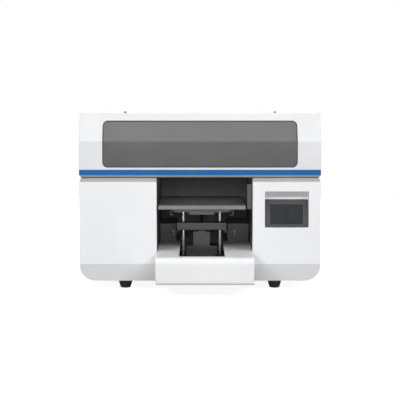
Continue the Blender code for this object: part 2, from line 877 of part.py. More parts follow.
def carriage_drive():
    """The belt above the gantry, with its motor under the left end."""
    depth = sum(GANTRY_DEPTHS) / 2
    y = at(depth)
    belt("x_belt", "Z", (-X_PULLEY_X, X_PULLEY_X), y, X_PULLEY_Z)
    motor_top = GANTRY_Z[1] - GAP
    turned(
        "x_drive_pulley",
        pulley_profile(0, GANTRY_Z[1] + GAP - X_PULLEY_Z, 0),
        (-X_PULLEY_X, y, X_PULLEY_Z),
        "Z",
        "aluminium",
    )
    turned(
        "x_idler_pulley",
        pulley_profile(SHAFT_RADIUS + GAP, 0, 0),
        (X_PULLEY_X, y, X_PULLEY_Z),
        "Z",
        "aluminium",
    )
    block(
        "x_motor",
        around(-X_PULLEY_X, MOTOR_SIZE / 2),
        around(y, MOTOR_SIZE / 2),
        (motor_top - MOTOR_SIZE, motor_top),
        "black_plastic",
        0.004,
    )


# ---------------------------------------------------------------- table and lift


def rail_centres():
    return {"left": LIFT_X - RAIL_SPREAD, "right": LIFT_X + RAIL_SPREAD}


def y_rails():
    bottom = BED_Z[1] + GAP
    for side, x in rail_centres().items():
        block(
            f"y_rail_{side}",
            around(x, RAIL_WIDTH / 2),
            depths(-0.140, 0.570),
            (bottom, bottom + RAIL_HEIGHT),
            "chrome",
            0.0012,
        )


def y_bearings():
    """A long bearing block on each rail."""
    rail_top = BED_Z[1] + GAP + RAIL_HEIGHT
    for side, x in rail_centres().items():
        bearing = block(
            f"y_bearing_{side}",
            around(x, 0.017),
            around(at(LIFT_DEPTH), 0.055),
            (BED_Z[1] + 0.005, CARRIAGE_PLATE_Z[0] - GAP),
            "zinc",
        )
        channel = block(
            f"y_bearing_{side}_channel",
            around(x, RAIL_WIDTH / 2 + GAP),
            around(at(LIFT_DEPTH), 0.060),
            (BED_Z[1], rail_top + GAP),
        )
        cut(bearing, channel)


def rod_centres():
    return {"left": LIFT_X - ROD_SPREAD, "right": LIFT_X + ROD_SPREAD}


def y_carriage_plate():
    plate = block(
        "y_carriage_plate",
        (LIFT_X - 0.0815, LIFT_X + 0.0825),
        around(at(LIFT_DEPTH), 0.060),
        CARRIAGE_PLATE_Z,
        "anodised",
    )
    middle = sum(CARRIAGE_PLATE_Z) / 2
    for side, x in rod_centres().items():
        centre = (x, at(LIFT_DEPTH), middle)
        cut(plate, cylinder(f"plate_{side}_hole", 0.007, centre, "Z", 0.030))


def lift_column():
    """The square tube that holds the lift motor and stands on the carriage plate."""
    half = COLUMN_WIDTH / 2
    z = (CARRIAGE_PLATE_Z[1] + GAP, CROSSBAR_Z[0] - GAP)
    column = block(
        "lift_column", around(LIFT_X, half), around(at(LIFT_DEPTH), half), z, "anodised", 0.002
    )
    inner = half - COLUMN_WALL
    bore = block(
        "column_bore",
        around(LIFT_X, inner),
        around(at(LIFT_DEPTH), inner),
        (z[0] - 0.01, z[1] + 0.01),
    )
    notch_z = (z[1] - COLUMN_NOTCH, z[1] + 0.01)
    every_depth = around(at(LIFT_DEPTH), half + 0.01)
    notches = [
        ((LIFT_X - half - 0.01, LIFT_X - COLUMN_TAB), every_depth, notch_z),
        ((LIFT_X + COLUMN_TAB, LIFT_X + half + 0.01), every_depth, notch_z),
    ]
    cut(column, bore, blocks("column_notches", notches))


def lift_crossbar():
    """The bearing bar on the column: the rods and the screw's nut run in its bores."""
    crossbar = block(
        "lift_crossbar",
        around(LIFT_X, CROSSBAR_WIDTH / 2),
        around(at(LIFT_DEPTH), CROSSBAR_THICKNESS / 2),
        CROSSBAR_Z,
        "anodised",
        0.0015,
    )
    middle = sum(CROSSBAR_Z) / 2
    bores = [(side, x, ROD_RADIUS + GAP) for side, x in rod_centres().items()]
    bores.append(("nut", LIFT_X, NUT_RADIUS + GAP))
    for name, x, radius in bores:
        centre = (x, at(LIFT_DEPTH), middle)
        cut(crossbar, cylinder(f"crossbar_{name}_bore", radius, centre, "Z", 0.050))


def lift_nut():
    """The driven nut: it turns in the crossbar and raises the screw."""
    bottom, top = CROSSBAR_Z[0] - 0.030, CROSSBAR_Z[1] - 0.004
    middle = (bottom + top) / 2
    half = (top - bottom) / 2
    bore = SCREW_RADIUS + GAP
    profile = [
        (bore, half), (NUT_RADIUS, half), (NUT_RADIUS, -half + 0.008),
        (NUT_RADIUS + 0.005, -half + 0.008), (NUT_RADIUS + 0.005, -half), (bore, -half),
    ]
    turned("lift_nut", profile, (LIFT_X, at(LIFT_DEPTH), middle), "Z", "brass", 24)


def platform():
    block(
        "platform", PLATFORM_X, depths(*PLATFORM_DEPTHS), PLATFORM_Z, "anodised", 0.001
    )


def platform_frame():
    """Two angle rails under the platform, joined by a bar with a boss for the rods and the screw."""
    bottom, top = FRAME_Z
    y = depths(*FRAME_DEPTHS)
    bar_x = (FRAME_X[0] + FRAME_WALL / 2, FRAME_X[1] - FRAME_WALL / 2)
    frame = block(
        "platform_frame", bar_x, around(at(LIFT_DEPTH), 0.025), (bottom + 0.001, top), "anodised"
    )
    boss = block(
        "frame_boss", around(LIFT_X, BOSS_HALF), around(at(LIFT_DEPTH), 0.020), (BOSS_BOTTOM, top - 0.002)
    )
    weld(frame, boss)
    for name, edge, inward in (("left", FRAME_X[0], 1), ("right", FRAME_X[1], -1)):
        web, foot_end = edge + inward * FRAME_WALL, edge + inward * FRAME_FOOT
        outline = [
            (edge, bottom), (foot_end, bottom), (foot_end, bottom + FRAME_WALL),
            (web, bottom + FRAME_WALL), (web, top), (edge, top),
        ]
        weld(frame, extrusion(f"frame_{name}_rail", [outline], "Y", y))


def lift_rods():
    """The rods end under the frame's bar, and the screw under its boss."""
    top = FRAME_Z[0] + 0.001 - GAP
    for side, x in rod_centres().items():
        centre = (x, at(LIFT_DEPTH), (ROD_BOTTOM + top) / 2)
        cylinder(f"lift_rod_{side}", ROD_RADIUS, centre, "Z", top - ROD_BOTTOM, "chrome")
    top = BOSS_BOTTOM - GAP
    centre = (LIFT_X, at(LIFT_DEPTH), (SCREW_BOTTOM + top) / 2)
    cylinder("lead_screw", SCREW_RADIUS, centre, "Z", top - SCREW_BOTTOM, "chrome")


# ---------------------------------------------------------------- gantry and print carriage


def gantry_beam():
    """The beam across the machine, on two legs, with the X motor's plate and the idler's pin."""
    y = depths(*GANTRY_DEPTHS)
    section = [(y[0], GANTRY_Z[0]), (y[1], GANTRY_Z[0]), (y[1], GANTRY_Z[1]), (y[0], GANTRY_Z[1])]
    beam = extrusion("gantry_beam", [section, inset(section, 0.004)], "X", GANTRY_X, "aluminium")
    for side, x in (("left", GANTRY_X[0]), ("right", GANTRY_X[1] - 0.015)):
        leg_z = (DECK_TOP + GAP, GANTRY_Z[0] + 0.002)
        weld(beam, block(f"gantry_{side}_leg", (x, x + 0.015), y, leg_z))
    plate = block("x_motor_plate", (-0.452, -0.380), y, (GANTRY_Z[1] - 0.0001, GANTRY_Z[1] + 0.004))
    weld(beam, plate)
    middle = sum(y) / 2
    hole = (-X_PULLEY_X, middle, GANTRY_Z[1] + 0.002)
    cut(beam, cylinder("x_shaft_hole", SHAFT_RADIUS + 0.001, hole, "Z", 0.012, segments=16))
    pin = (X_PULLEY_X, middle, GANTRY_Z[1] + 0.009)
    weld(beam, cylinder("x_idler_pin", SHAFT_RADIUS, pin, "Z", 0.026, segments=16))


def x_rail():
    block(
        "x_rail",
        (GANTRY_X[0] + 0.010, GANTRY_X[1] - 0.010),
        depths(GANTRY_DEPTHS[0] - 0.012, GANTRY_DEPTHS[0] - GAP),
        X_RAIL_Z,
        "chrome",
        0.0012,
    )


def carriage_frame():
    """The L-shaped chassis on the X rail, with its runner and the arm that grips the belt."""
    front, back = (at(depth) for depth in CARRIAGE_DEPTHS)
    bottom = CARRIAGE_BOTTOM
    outline = [
        (front, bottom), (back, bottom), (back, CARRIAGE_TOP), (back - CARRIAGE_PLATE, CARRIAGE_TOP),
        (back - CARRIAGE_PLATE, bottom + CARRIAGE_PLATE), (front, bottom + CARRIAGE_PLATE),
    ]
    span = around(CARRIAGE_X, CARRIAGE_HALF)
    frame = extrusion("carriage_frame", [outline], "X", span, "aluminium")
    runner_z = (X_RAIL_Z[0] - 0.008, X_RAIL_Z[1] + 0.008)
    runner = block("runner", around(CARRIAGE_X, 0.035), (back - 0.001, back + 0.013), runner_z)
    arm = block(
        "belt_arm",
        around(CARRIAGE_X, 0.012),
        (back - 0.001, at(0.324)),
        (X_PULLEY_Z + 0.0070, X_PULLEY_Z + 0.0100),
    )
    jaw = block(
        "belt_jaw",
        around(CARRIAGE_X, 0.012),
        depths(0.312, 0.3198),
        (X_PULLEY_Z - 0.0045, X_PULLEY_Z + 0.0080),
    )
    weld(frame, runner, arm, jaw)
    channel = block(
        "runner_channel",
        around(CARRIAGE_X, 0.050),
        depths(GANTRY_DEPTHS[0] - 0.012 - GAP, GANTRY_DEPTHS[0]),
        (X_RAIL_Z[0] - GAP, X_RAIL_Z[1] + GAP),
    )
    head_hole = block(
        "head_hole",
        around(CARRIAGE_X, HEAD_HALF + GAP),
        depths(HEAD_DEPTHS[0] - GAP, HEAD_DEPTHS[1] + GAP),
        (bottom - 0.005, bottom + CARRIAGE_PLATE + 0.005),
    )
    cut(frame, channel, head_hole)


def print_head():
    """The head block hangs through the chassis, with its nozzle face just above the goods."""
    head = block(
        "print_head",
        around(CARRIAGE_X, HEAD_HALF),
        depths(*HEAD_DEPTHS),
        (NOZZLE_Z, CARRIAGE_BOTTOM + CARRIAGE_PLATE + 0.004),
        "black_plastic",
    )
    body = block(
        "head_body",
        around(CARRIAGE_X, HEAD_HALF + 0.012),
        depths(HEAD_DEPTHS[0] - 0.010, HEAD_DEPTHS[1] + 0.010),
        (CARRIAGE_BOTTOM + CARRIAGE_PLATE + GAP, 0.560),
    )
    weld(head, body)


def uv_lamp():
    """The curing lamp on the carriage's left flank; it shines down."""
    left = CARRIAGE_X - CARRIAGE_HALF - GAP
    lamp = block(
        "uv_lamp", (left - 0.036, left), depths(0.165, 0.265), (CARRIAGE_BOTTOM - 0.004, 0.575),
        "aluminium",
    )
    fins = [
        ((left - 0.040, left - 0.026), around(at(0.173 + 0.012 * i), 0.003), (0.470, 0.580))
        for i in range(8)
    ]
    cut(lamp, blocks("lamp_fins", fins))


def carriage_cover():
    """The cover over the heads, open below and at the back."""
    half = CARRIAGE_HALF - 0.002
    front, back = at(CARRIAGE_DEPTHS[0] + 0.002), at(CARRIAGE_DEPTHS[1]) - CARRIAGE_PLATE - GAP
    bottom = CARRIAGE_BOTTOM + CARRIAGE_PLATE + GAP
    cover = block(
        "carriage_cover", around(CARRIAGE_X, half), (front, back), (bottom, CARRIAGE_TOP + 0.002),
        "white_paint", 0.0015,
    )
    wall = 0.002
    hollow = block(
        "carriage_cover_hollow",
        around(CARRIAGE_X, half - wall),
        (front + wall, back + 0.010),
        (bottom - 0.010, CARRIAGE_TOP),
    )
    cut(cover, hollow)


def capping_station():
    """The cap that seals the nozzles at rest, and the box under the deck that guides it."""
    cap_top = NOZZLE_Z - GAP
    cap_half = 0.0380
    front, back = depths(HEAD_DEPTHS[0] - 0.002, HEAD_DEPTHS[1] + 0.002)
    cap = block("cap", around(CARRIAGE_X, cap_half), (front, back), (0.402, cap_top), "black_rubber")
    lip = 0.003
    dish = block(
        "cap_dish",
        around(CARRIAGE_X, cap_half - lip),
        (front + lip, back - lip),
        (cap_top - 0.004, cap_top + 0.004),
    )
    cut(cap, dish)
    clear = 0.0008
    wall = 0.0025
    z = (0.386, BODY_TOP)
    guide = block(
        "cap_guide",
        around(CARRIAGE_X, cap_half + clear + wall),
        (front - clear - wall, back + clear + wall),
        z,
        "zinc",
    )
    well = block(
        "cap_well",
        around(CARRIAGE_X, cap_half + clear),
        (front - clear, back + clear),
        (z[0] + wall, z[1] + wall),
    )
    cut(guide, well)


# ---------------------------------------------------------------- electronics, ink and inlet


def power_supply():
    """A thin metal case with its vents along the top."""
    x, depth = SUPPLY_X, SUPPLY_DEPTHS
    z = (PAN_TOP + GAP, PAN_TOP + SUPPLY_HEIGHT)
    case = block("power_supply", x, depths(*depth), z, "zinc")
    wall = 0.0015
    inside_depths = depths(depth[0] + wall, depth[1] - wall)
    inside_z = (z[0] + wall, z[1] - wall)
    hollow = block("power_supply_hollow", (x[0] + wall, x[1] - wall), inside_depths, inside_z)
    vents = [
        ((x[0] + 0.015, x[1] - 0.015), around(at(depth[0] + 0.030 + 0.014 * i), 0.003), around(z[1], 0.004))
        for i in range(12)
    ]
    cut(case, hollow, blocks("power_supply_vents", vents))


def mainboard():
    """The controller board on four posts, with its heat sink and connectors."""
    bottom = PAN_TOP + 0.010
    top = bottom + 0.002
    board = block("mainboard", BOARD_X, depths(*BOARD_DEPTHS), (bottom, top), "circuit_board")
    for x in (BOARD_X[0] + 0.008, BOARD_X[1] - 0.008):
        for depth in (BOARD_DEPTHS[0] + 0.008, BOARD_DEPTHS[1] - 0.008):
            centre = (x, at(depth), (PAN_TOP + GAP + bottom + 0.001) / 2)
            length = bottom + 0.001 - PAN_TOP - GAP
            weld(board, cylinder("board_post", 0.004, centre, "Z", length, segments=10))
    # Each part's x and depth spans from the board's front left corner, and its height.
    parts = (
        ((0.090, 0.140), (0.070, 0.120), 0.018),
        ((0.006, 0.024), (0.030, 0.160), 0.012),
        ((0.150, 0.196), (0.150, 0.180), 0.014),
        ((0.160, 0.194), (0.030, 0.080), 0.010),
    )
    for x, depth, height in parts:
        x = [BOARD_X[0] + end for end in x]
        depth = [BOARD_DEPTHS[0] + end for end in depth]
        weld(board, block("board_part", x, depths(*depth), (top - 0.001, top + height)))


def ink_rack():
    """The rack of six ink tanks, with a filler cap on each."""
    bottom = PAN_TOP + GAP
    front, back = RACK_DEPTHS
    top = bottom + RACK_HEIGHT
    rack = block("ink_rack", RACK_X, depths(front, back), (bottom, top), "black_plastic")
    pitch = (RACK_X[1] - RACK_X[0]) / TANKS
    for index in range(TANKS):
        x = RACK_X[0] + pitch * (index + 0.5)
        tank_x = around(x, pitch / 2 - 0.003)
        tank_y = depths(front + 0.007, back - 0.007)
        tank = block("ink_tank", tank_x, tank_y, (top - 0.002, bottom + TANK_HEIGHT))
        centre = (x, at(front + 0.035), bottom + TANK_HEIGHT + 0.008)
        weld(rack, tank, cylinder("tank_cap", 0.011, centre, "Z", 0.020, segments=12))


def power_inlet():
    """The mains inlet's flange, its socket and the opening for the rocker beside it."""
    flange_front = REAR_FACE + GAP
    inlet = block(
        "power_inlet",
        (INLET_X - 0.026, ROCKER_X + 0.012),
        depths(flange_front, BODY_DEPTH),
        around(INLET_Z, 0.0165),
        "black_plastic",
        0.0012,
    )
    socket_body = block(
        "socket_body",
        around(INLET_X, 0.0138),
        depths(0.672, flange_front + 0.001),
        around(INLET_Z, 0.0118),
    )
    weld(inlet, socket_body)
    socket = block("socket", around(INLET_X, 0.0118), depths(0.678, 0.705), around(INLET_Z, 0.0098))
    rocker_hole = block(
        "rocker_hole", around(ROCKER_X, 0.0072), depths(0.690, 0.705), around(INLET_Z, 0.0105)
    )
    cut(inlet, socket, rocker_hole)


def rocker_switch():
    """The rocker stands on its pivot, with one end pressed in."""
    outline = [(-0.006, -0.005), (0.0076, -0.0090), (0.0066, 0.0), (0.0076, 0.0090), (-0.006, 0.005)]
    rocker = extrusion("rocker_switch", [outline], "X", around(0, 0.0068), "black_plastic")
    pivot = Vector((ROCKER_X, at(ROCKER_PIVOT_DEPTH), INLET_Z))
    turn = Matrix.Rotation(-ROCKER_TILT, 4, "X")
    bpy.context.view_layer.update()
    rocker.matrix_world = Matrix.Translation(pivot) @ turn @ rocker.matrix_world


def lower_body():
    base_pan()
    for end, depth in FOOT_DEPTHS.items():
        foot(f"foot_{end}_left", -FOOT_X, depth)
        foot(f"foot_{end}_right", FOOT_X, depth)
    front_cover("front_cover_left", -HALF, BAY_LEFT)
    screen_pocket(front_cover("front_cover_right", BAY_RIGHT, HALF))
    screen()
    side_panel("side_panel_left", -1)
    side_panel("side_panel_right", 1)
    rear_cover()
    bay_liner()
    deck_plate()


def hood():
    upper_shell()
    lid()
    lid_hinge("lid_hinge_left", -HINGE_X)
    lid_hinge("lid_hinge_right", HINGE_X)


def table():
    tray()
    bed_frame()
    table_rest("table_rest_left", (TRAY_X[0], REST_INNER_X[0]))
    table_rest("table_rest_right", (REST_INNER_X[1], TRAY_X[1]))
    height_sensor()
    table_drive()
    y_rails()
    y_bearings()
    y_carriage_plate()
    lift_column()
    lift_crossbar()
    lift_nut()
    platform()
    platform_frame()
    lift_rods()


def printing():
    gantry_beam()
    x_rail()
    carriage_drive()
    carriage_frame()
    print_head()
    uv_lamp()
    carriage_cover()
    capping_station()


def inside():
    power_supply()
    mainboard()
    ink_rack()
    power_inlet()
    rocker_switch()


lower_body()
hood()
table()
printing()
inside()
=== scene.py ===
"""The looks of the flatbed UV printer: a material for every piece, rounded edges and small fittings.

Lengths are in metres, in the frame of the CAD model. Places come from the boxes of the CAD nodes.
"""

import json
import math

import bmesh
import bpy
from mathutils import Matrix, Vector


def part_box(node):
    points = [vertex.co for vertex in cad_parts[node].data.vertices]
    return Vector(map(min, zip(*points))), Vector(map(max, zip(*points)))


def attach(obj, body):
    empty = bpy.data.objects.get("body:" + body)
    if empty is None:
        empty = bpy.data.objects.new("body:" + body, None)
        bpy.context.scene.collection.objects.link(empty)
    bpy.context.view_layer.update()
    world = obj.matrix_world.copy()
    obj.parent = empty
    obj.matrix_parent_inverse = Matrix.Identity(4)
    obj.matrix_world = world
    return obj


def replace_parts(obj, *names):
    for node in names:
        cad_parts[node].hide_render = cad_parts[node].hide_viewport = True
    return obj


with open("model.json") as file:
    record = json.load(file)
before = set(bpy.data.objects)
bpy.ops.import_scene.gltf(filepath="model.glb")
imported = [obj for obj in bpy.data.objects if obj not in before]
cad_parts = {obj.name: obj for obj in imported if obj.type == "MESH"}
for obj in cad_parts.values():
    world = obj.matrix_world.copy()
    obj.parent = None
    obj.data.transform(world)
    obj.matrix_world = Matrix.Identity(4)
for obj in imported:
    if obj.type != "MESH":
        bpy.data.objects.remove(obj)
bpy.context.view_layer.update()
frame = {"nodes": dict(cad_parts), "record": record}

scene = bpy.context.scene
NODES = frame["nodes"]
BODY_OF = {
    node: body for body, nodes in frame["record"]["behaviour"]["bodies"].items() for node in nodes
}

# ---------------------------------------------------------------- camera and studio

CAMERA_DISTANCE = 5.0
CAMERA_HEIGHT = 0.783
CAMERA_PITCH = math.radians(4.98)
SENSOR = 36.0
LENS = 118.7
FRONT_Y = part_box("front_cover_left")[0].y

WORLD_STRENGTH = 0.10
KEY_POWER = 122
FRONT_POWER = 56
SIDE_POWER = 62
BACK_POWER = 30
BACKDROP_POWER = 110
TOP_POWER = 9
SKY_POWER = 42
BAY_POWER = 0.11
LOW_POWER = 1.5
FLOOR_RADIUS = 4.0

# The lid's bend and slope, its window's corners, and the screen's pocket, as in part.py.
LID_BEND = 0.570
LID_SLOPE_RUN = 0.055
WINDOW_CORNER = 0.019
SCREEN_BOTTOM = 0.243
SCREEN_RISE = 0.105
SCREEN_SETBACK = 0.028


def add_camera():
    data = bpy.data.cameras.new("camera")
    data.sensor_width = SENSOR
    data.lens = LENS
    camera = bpy.data.objects.new("camera", data)
    scene.collection.objects.link(camera)
    camera.location = (0, FRONT_Y - CAMERA_DISTANCE, CAMERA_HEIGHT)
    camera.rotation_euler = (math.pi / 2 - CAMERA_PITCH, 0, 0)
    scene.camera = camera


def add_light(name, place, target, size, power):
    data = bpy.data.lights.new(name, "AREA")
    data.shape = "RECTANGLE"
    data.size, data.size_y = size
    data.energy = power
    light = bpy.data.objects.new(name, data)
    scene.collection.objects.link(light)
    light.location = place
    aim = Vector(target) - Vector(place)
    light.rotation_euler = aim.to_track_quat("-Z", "Y").to_euler()
    light.visible_camera = False


def add_studio():
    """A pale floor, a white surround and soft lights, the strongest one in front and a little above."""
    scene.view_settings.view_transform = "Standard"
    world = bpy.data.worlds.new("studio")
    scene.world = world
    world.use_nodes = True
    nodes, links = world.node_tree.nodes, world.node_tree.links
    nodes.clear()
    output = nodes.new("ShaderNodeOutputWorld")
    seen = nodes.new("ShaderNodeBackground")
    seen.inputs["Color"].default_value = (1, 1, 1, 1)
    lit = nodes.new("ShaderNodeBackground")
    lit.inputs["Color"].default_value = (0.95, 0.97, 1, 1)
    lit.inputs["Strength"].default_value = WORLD_STRENGTH
    ray = nodes.new("ShaderNodeLightPath")
    mix = nodes.new("ShaderNodeMixShader")
    links.new(ray.outputs["Is Camera Ray"], mix.inputs[0])
    links.new(lit.outputs[0], mix.inputs[1])
    links.new(seen.outputs[0], mix.inputs[2])
    links.new(mix.outputs[0], output.inputs[0])

    for side in (-1, 1):
        add_light("key", (side * 3.0, -4.1, 3.5), (0, -0.2, 0.35), (1.8, 1.8), KEY_POWER)
        add_light("side", (side * 5.0, 0.6, 1.1), (0, 0, 0.35), (1.8, 1.2), SIDE_POWER)
    add_light("front", (0, -5.4, 1.02), (0, -0.2, 0.35), (3.0, 0.7), FRONT_POWER)
    add_light("top", (0, -2.43, 3.3), (0, -0.23, 0.63), (2.0, 0.9), TOP_POWER)
    add_light("sky", (0, -1.0, 4.2), (0, -0.1, 0.6), (2.4, 1.4), SKY_POWER)
    bay_place, bay_target = (0.018, FRONT_Y + 0.17, 0.426), (0.018, FRONT_Y + 0.42, 0.325)
    add_light("bay", bay_place, bay_target, (0.32, 0.06), BAY_POWER)
    add_light("low", (0, -2.3, 0.08), (0, -0.03, 0.2), (0.5, 0.14), LOW_POWER)
    add_light("back", (0, 4.8, 1.9), (0, 0, 0.35), (1.8, 1.2), BACK_POWER)
    add_light("backdrop", (0, 5.4, 1.0), (0, 0, 0.9), (9.0, 2.2), BACKDROP_POWER)

    bm = bmesh.new()
    bmesh.ops.create_circle(bm, cap_ends=True, segments=96, radius=FLOOR_RADIUS)
    mesh = bpy.data.meshes.new("floor")
    bm.to_mesh(mesh)
    bm.free()
    floor = bpy.data.objects.new("floor", mesh)
    scene.collection.objects.link(floor)
    mesh.materials.append(floor_material())


# ---------------------------------------------------------------- materials


class Shader:
    """A material under construction: its Principled shader and the nodes that feed it."""

    def __init__(self, name):
        self.material = bpy.data.materials.new(name)
        self.material.use_nodes = True
        self.tree = self.material.node_tree
        self.principled = self.tree.nodes["Principled BSDF"]
        coordinates = self.tree.nodes.new("ShaderNodeTexCoord")
        self.place = coordinates.outputs["Object"]
        self.normal = None

    def node(self, kind, **settings):
        made = self.tree.nodes.new("ShaderNode" + kind)
        for key, value in settings.items():
            setattr(made, key, value)
        return made

    def link(self, output, target):
        self.tree.links.new(output, target)

    def noise(self, scale, detail=2.0, stretch=(1, 1, 1), roughness=0.5):
        """A noise over the surface; a stretch below 1 draws it out along that axis."""
        mapping = self.node("Mapping")
        mapping.inputs["Scale"].default_value = stretch
        self.link(self.place, mapping.inputs["Vector"])
        noise = self.node("TexNoise")
        noise.inputs["Scale"].default_value = scale
        noise.inputs["Detail"].default_value = detail
        noise.inputs["Roughness"].default_value = roughness
        self.link(mapping.outputs[0], noise.inputs["Vector"])
        return noise.outputs["Fac"]

    def ramp(self, factor, low, high, start=0.35, end=0.65):
        ramp = self.node("ValToRGB")
        ramp.color_ramp.elements[0].position = start
        ramp.color_ramp.elements[1].position = end
        ramp.color_ramp.elements[0].color = (*low, 1)
        ramp.color_ramp.elements[1].color = (*high, 1)
        self.link(factor, ramp.inputs[0])
        return ramp.outputs[0]

    def colour(self, output):
        self.link(output, self.principled.inputs["Base Color"])

    def roughness(self, factor, low, high):
        spread = self.node("MapRange")
        spread.inputs["From Min"].default_value = 0.3
        spread.inputs["From Max"].default_value = 0.7
        spread.inputs["To Min"].default_value = low
        spread.inputs["To Max"].default_value = high
        self.link(factor, spread.inputs["Value"])
        self.link(spread.outputs[0], self.principled.inputs["Roughness"])

    def bump(self, height, strength, distance):
        bump = self.node("Bump")
        bump.inputs["Strength"].default_value = strength
        bump.inputs["Distance"].default_value = distance
        self.link(height, bump.inputs["Height"])
        if self.normal:
            self.link(self.normal, bump.inputs["Normal"])
        self.normal = bump.outputs[0]
        self.link(self.normal, self.principled.inputs["Normal"])

    def edges(self, radius):
        """How much of an edge is near: 0 on flat faces, up to about 0.3 on a corner."""
        bevel = self.node("Bevel", samples=4)
        bevel.inputs["Radius"].default_value = radius
        geometry = self.node("NewGeometry")
        dot = self.node("VectorMath", operation="DOT_PRODUCT")
        self.link(bevel.outputs[0], dot.inputs[0])
        self.link(geometry.outputs["True Normal"], dot.inputs[1])
        wear = self.node("Math", operation="SUBTRACT")
        wear.inputs[0].default_value = 1.0
        self.link(dot.outputs["Value"], wear.inputs[1])
        return wear.outputs[0]

    def set(self, **sockets):
        for key, value in sockets.items():
            self.principled.inputs[key.replace("_", " ")].default_value = value


def floor_material():
    """Pale paper that fades into the white surround; its glow is for the camera only."""
    shader = Shader("floor_paper")
    shader.colour(shader.ramp(shader.noise(0.6), (0.38, 0.38, 0.38), (0.41, 0.41, 0.41)))
    shader.set(Roughness=0.9, Emission_Color=(1, 1, 1, 1))
    distance = shader.node("VectorMath", operation="LENGTH")
    shader.link(shader.place, distance.inputs[0])
    fade = shader.node("MapRange")
    fade.inputs["From Min"].default_value = 0.5
    fade.inputs["From Max"].default_value = 1.6
    fade.inputs["To Min"].default_value = 0.90
    fade.inputs["To Max"].default_value = 1.0
    shader.link(distance.outputs["Value"], fade.inputs["Value"])
    ray = shader.node("LightPath")
    seen = shader.node("Math", operation="MULTIPLY")
    shader.link(fade.outputs[0], seen.inputs[0])
    shader.link(ray.outputs["Is Camera Ray"], seen.inputs[1])
    shader.link(seen.outputs[0], shader.principled.inputs["Emission Strength"])
    return shader.material


def coated(name, low, high, roughness, grain=0.05, grain_scale=900.0, speck=0.0, spec=0.5):
    """Powder coat or moulded plastic: faint mottling, an orange-peel skin and uneven gloss."""
    shader = Shader(name)
    base = shader.ramp(shader.noise(7.0, 3.0), low, high)
    if speck:
        dust = shader.noise(2600.0, 1.0)
        flecks = shader.ramp(dust, (1 - speck,) * 3, (1, 1, 1), 0.30, 0.40)
        mix = shader.node("Mix", data_type="RGBA", blend_type="MULTIPLY")
        mix.inputs["Factor"].default_value = 1.0
        shader.link(base, mix.inputs["A"])
        shader.link(flecks, mix.inputs["B"])
        base = mix.outputs["Result"]
    shader.colour(base)
    shader.roughness(shader.noise(30.0, 4.0), *roughness)
    shader.bump(shader.noise(grain_scale, 2.0), grain, 0.0004)
    shader.bump(shader.noise(140.0, 1.0), grain * 0.5, 0.0010)
    shader.set(Specular_IOR_Level=spec)
    return shader


def metal(name, low, high, roughness, stretch=(1, 1, 1), worn=None, metallic=1.0, marks=0.05):
    """Machined or anodised metal with drawn-out tool marks and, where worn is given, bright edges."""
    shader = Shader(name)
    lines = shader.noise(420.0, 6.0, stretch, 0.65)
    base = shader.ramp(lines, low, high)
    if worn:
        edge = shader.node("MapRange")
        edge.inputs["From Min"].default_value = 0.02
        edge.inputs["From Max"].default_value = 0.22
        shader.link(shader.edges(0.0007), edge.inputs["Value"])
        chips = shader.node("Math", operation="MULTIPLY")
        shader.link(edge.outputs[0], chips.inputs[0])
        shader.link(shader.noise(160.0, 4.0), chips.inputs[1])
        mix = shader.node("Mix", data_type="RGBA")
        shader.link(chips.outputs[0], mix.inputs["Factor"])
        shader.link(base, mix.inputs["A"])
        mix.inputs["B"].default_value = (*worn, 1)
        base = mix.outputs["Result"]
    shader.colour(base)
    shader.roughness(shader.noise(420.0, 6.0, stretch, 0.65), *roughness)
    if marks:
        shader.bump(lines, marks, 0.0003)
    shader.set(Metallic=metallic)
    return shader


def rubber(name, low, high):
    shader = coated(name, low, high, (0.62, 0.85), 0.25, 700.0)
    shader.set(Specular_IOR_Level=0.3)
    return shader


def smoked_acrylic():
    """Smoked sheet with a faint haze of wipe marks."""
    shader = Shader("smoked_acrylic")
    shader.colour(shader.ramp(shader.noise(3.0, 3.0), (0.118, 0.118, 0.120), (0.136, 0.136, 0.138)))
    shader.roughness(shader.noise(18.0, 5.0, (1, 1, 3)), 0.13, 0.18)
    shader.bump(shader.noise(9.0, 1.0), 0.006, 0.002)
    shader.set(Alpha=0.93, IOR=1.49, Coat_Weight=0.3, Coat_Roughness=0.05)
    return shader


def display_glass():
    """The dark panel of the touch screen, with a fine pixel grid under the glass."""
    shader = Shader("display_glass")
    grid = shader.node("TexBrick")
    grid.offset = 0.0
    grid.inputs["Scale"].default_value = 900.0
    grid.inputs["Mortar Size"].default_value = 0.06
    grid.inputs["Color1"].default_value = (0.036, 0.038, 0.041, 1)
    grid.inputs["Color2"].default_value = (0.042, 0.044, 0.047, 1)
    grid.inputs["Mortar"].default_value = (0.024, 0.025, 0.027, 1)
    shader.link(shader.place, grid.inputs["Vector"])
    shader.colour(grid.outputs["Color"])
    shader.roughness(shader.noise(25.0, 4.0), 0.14, 0.26)
    shader.set(Coat_Weight=0.5, Coat_Roughness=0.08)
    return shader


def guard_coat():
    """Dark paint that grows darker towards the lower edge, as painted shade below the tray's level, with a
    faint random mottle.
    """
    shader = Shader("guard_coat")
    parts = shader.node("SeparateXYZ")
    shader.link(shader.place, parts.inputs[0])
    # Painted shade: the colour darkens with height from 0.156 m down to 0.130 m, below the tray's level.
    height = shader.node("MapRange")
    height.inputs["From Min"].default_value = 0.130
    height.inputs["From Max"].default_value = 0.156
    shader.link(parts.outputs["Z"], height.inputs["Value"])
    # Painted shade from the height, plus a faint random mottle from the noise.
    painted_shade_and_mottle = shader.node("Math", operation="MULTIPLY_ADD")
    shader.link(shader.noise(40.0, 4.0), painted_shade_and_mottle.inputs[0])
    painted_shade_and_mottle.inputs[1].default_value = 0.2
    shader.link(height.outputs[0], painted_shade_and_mottle.inputs[2])
    dark, light = (0.018, 0.018, 0.019), (0.095, 0.096, 0.099)
    shader.colour(shader.ramp(painted_shade_and_mottle.outputs[0], dark, light, 0.05, 1.0))
    shader.roughness(shader.noise(30.0, 4.0), 0.5, 0.7)
    shader.bump(shader.noise(1000.0), 0.16, 0.0004)
    return shader


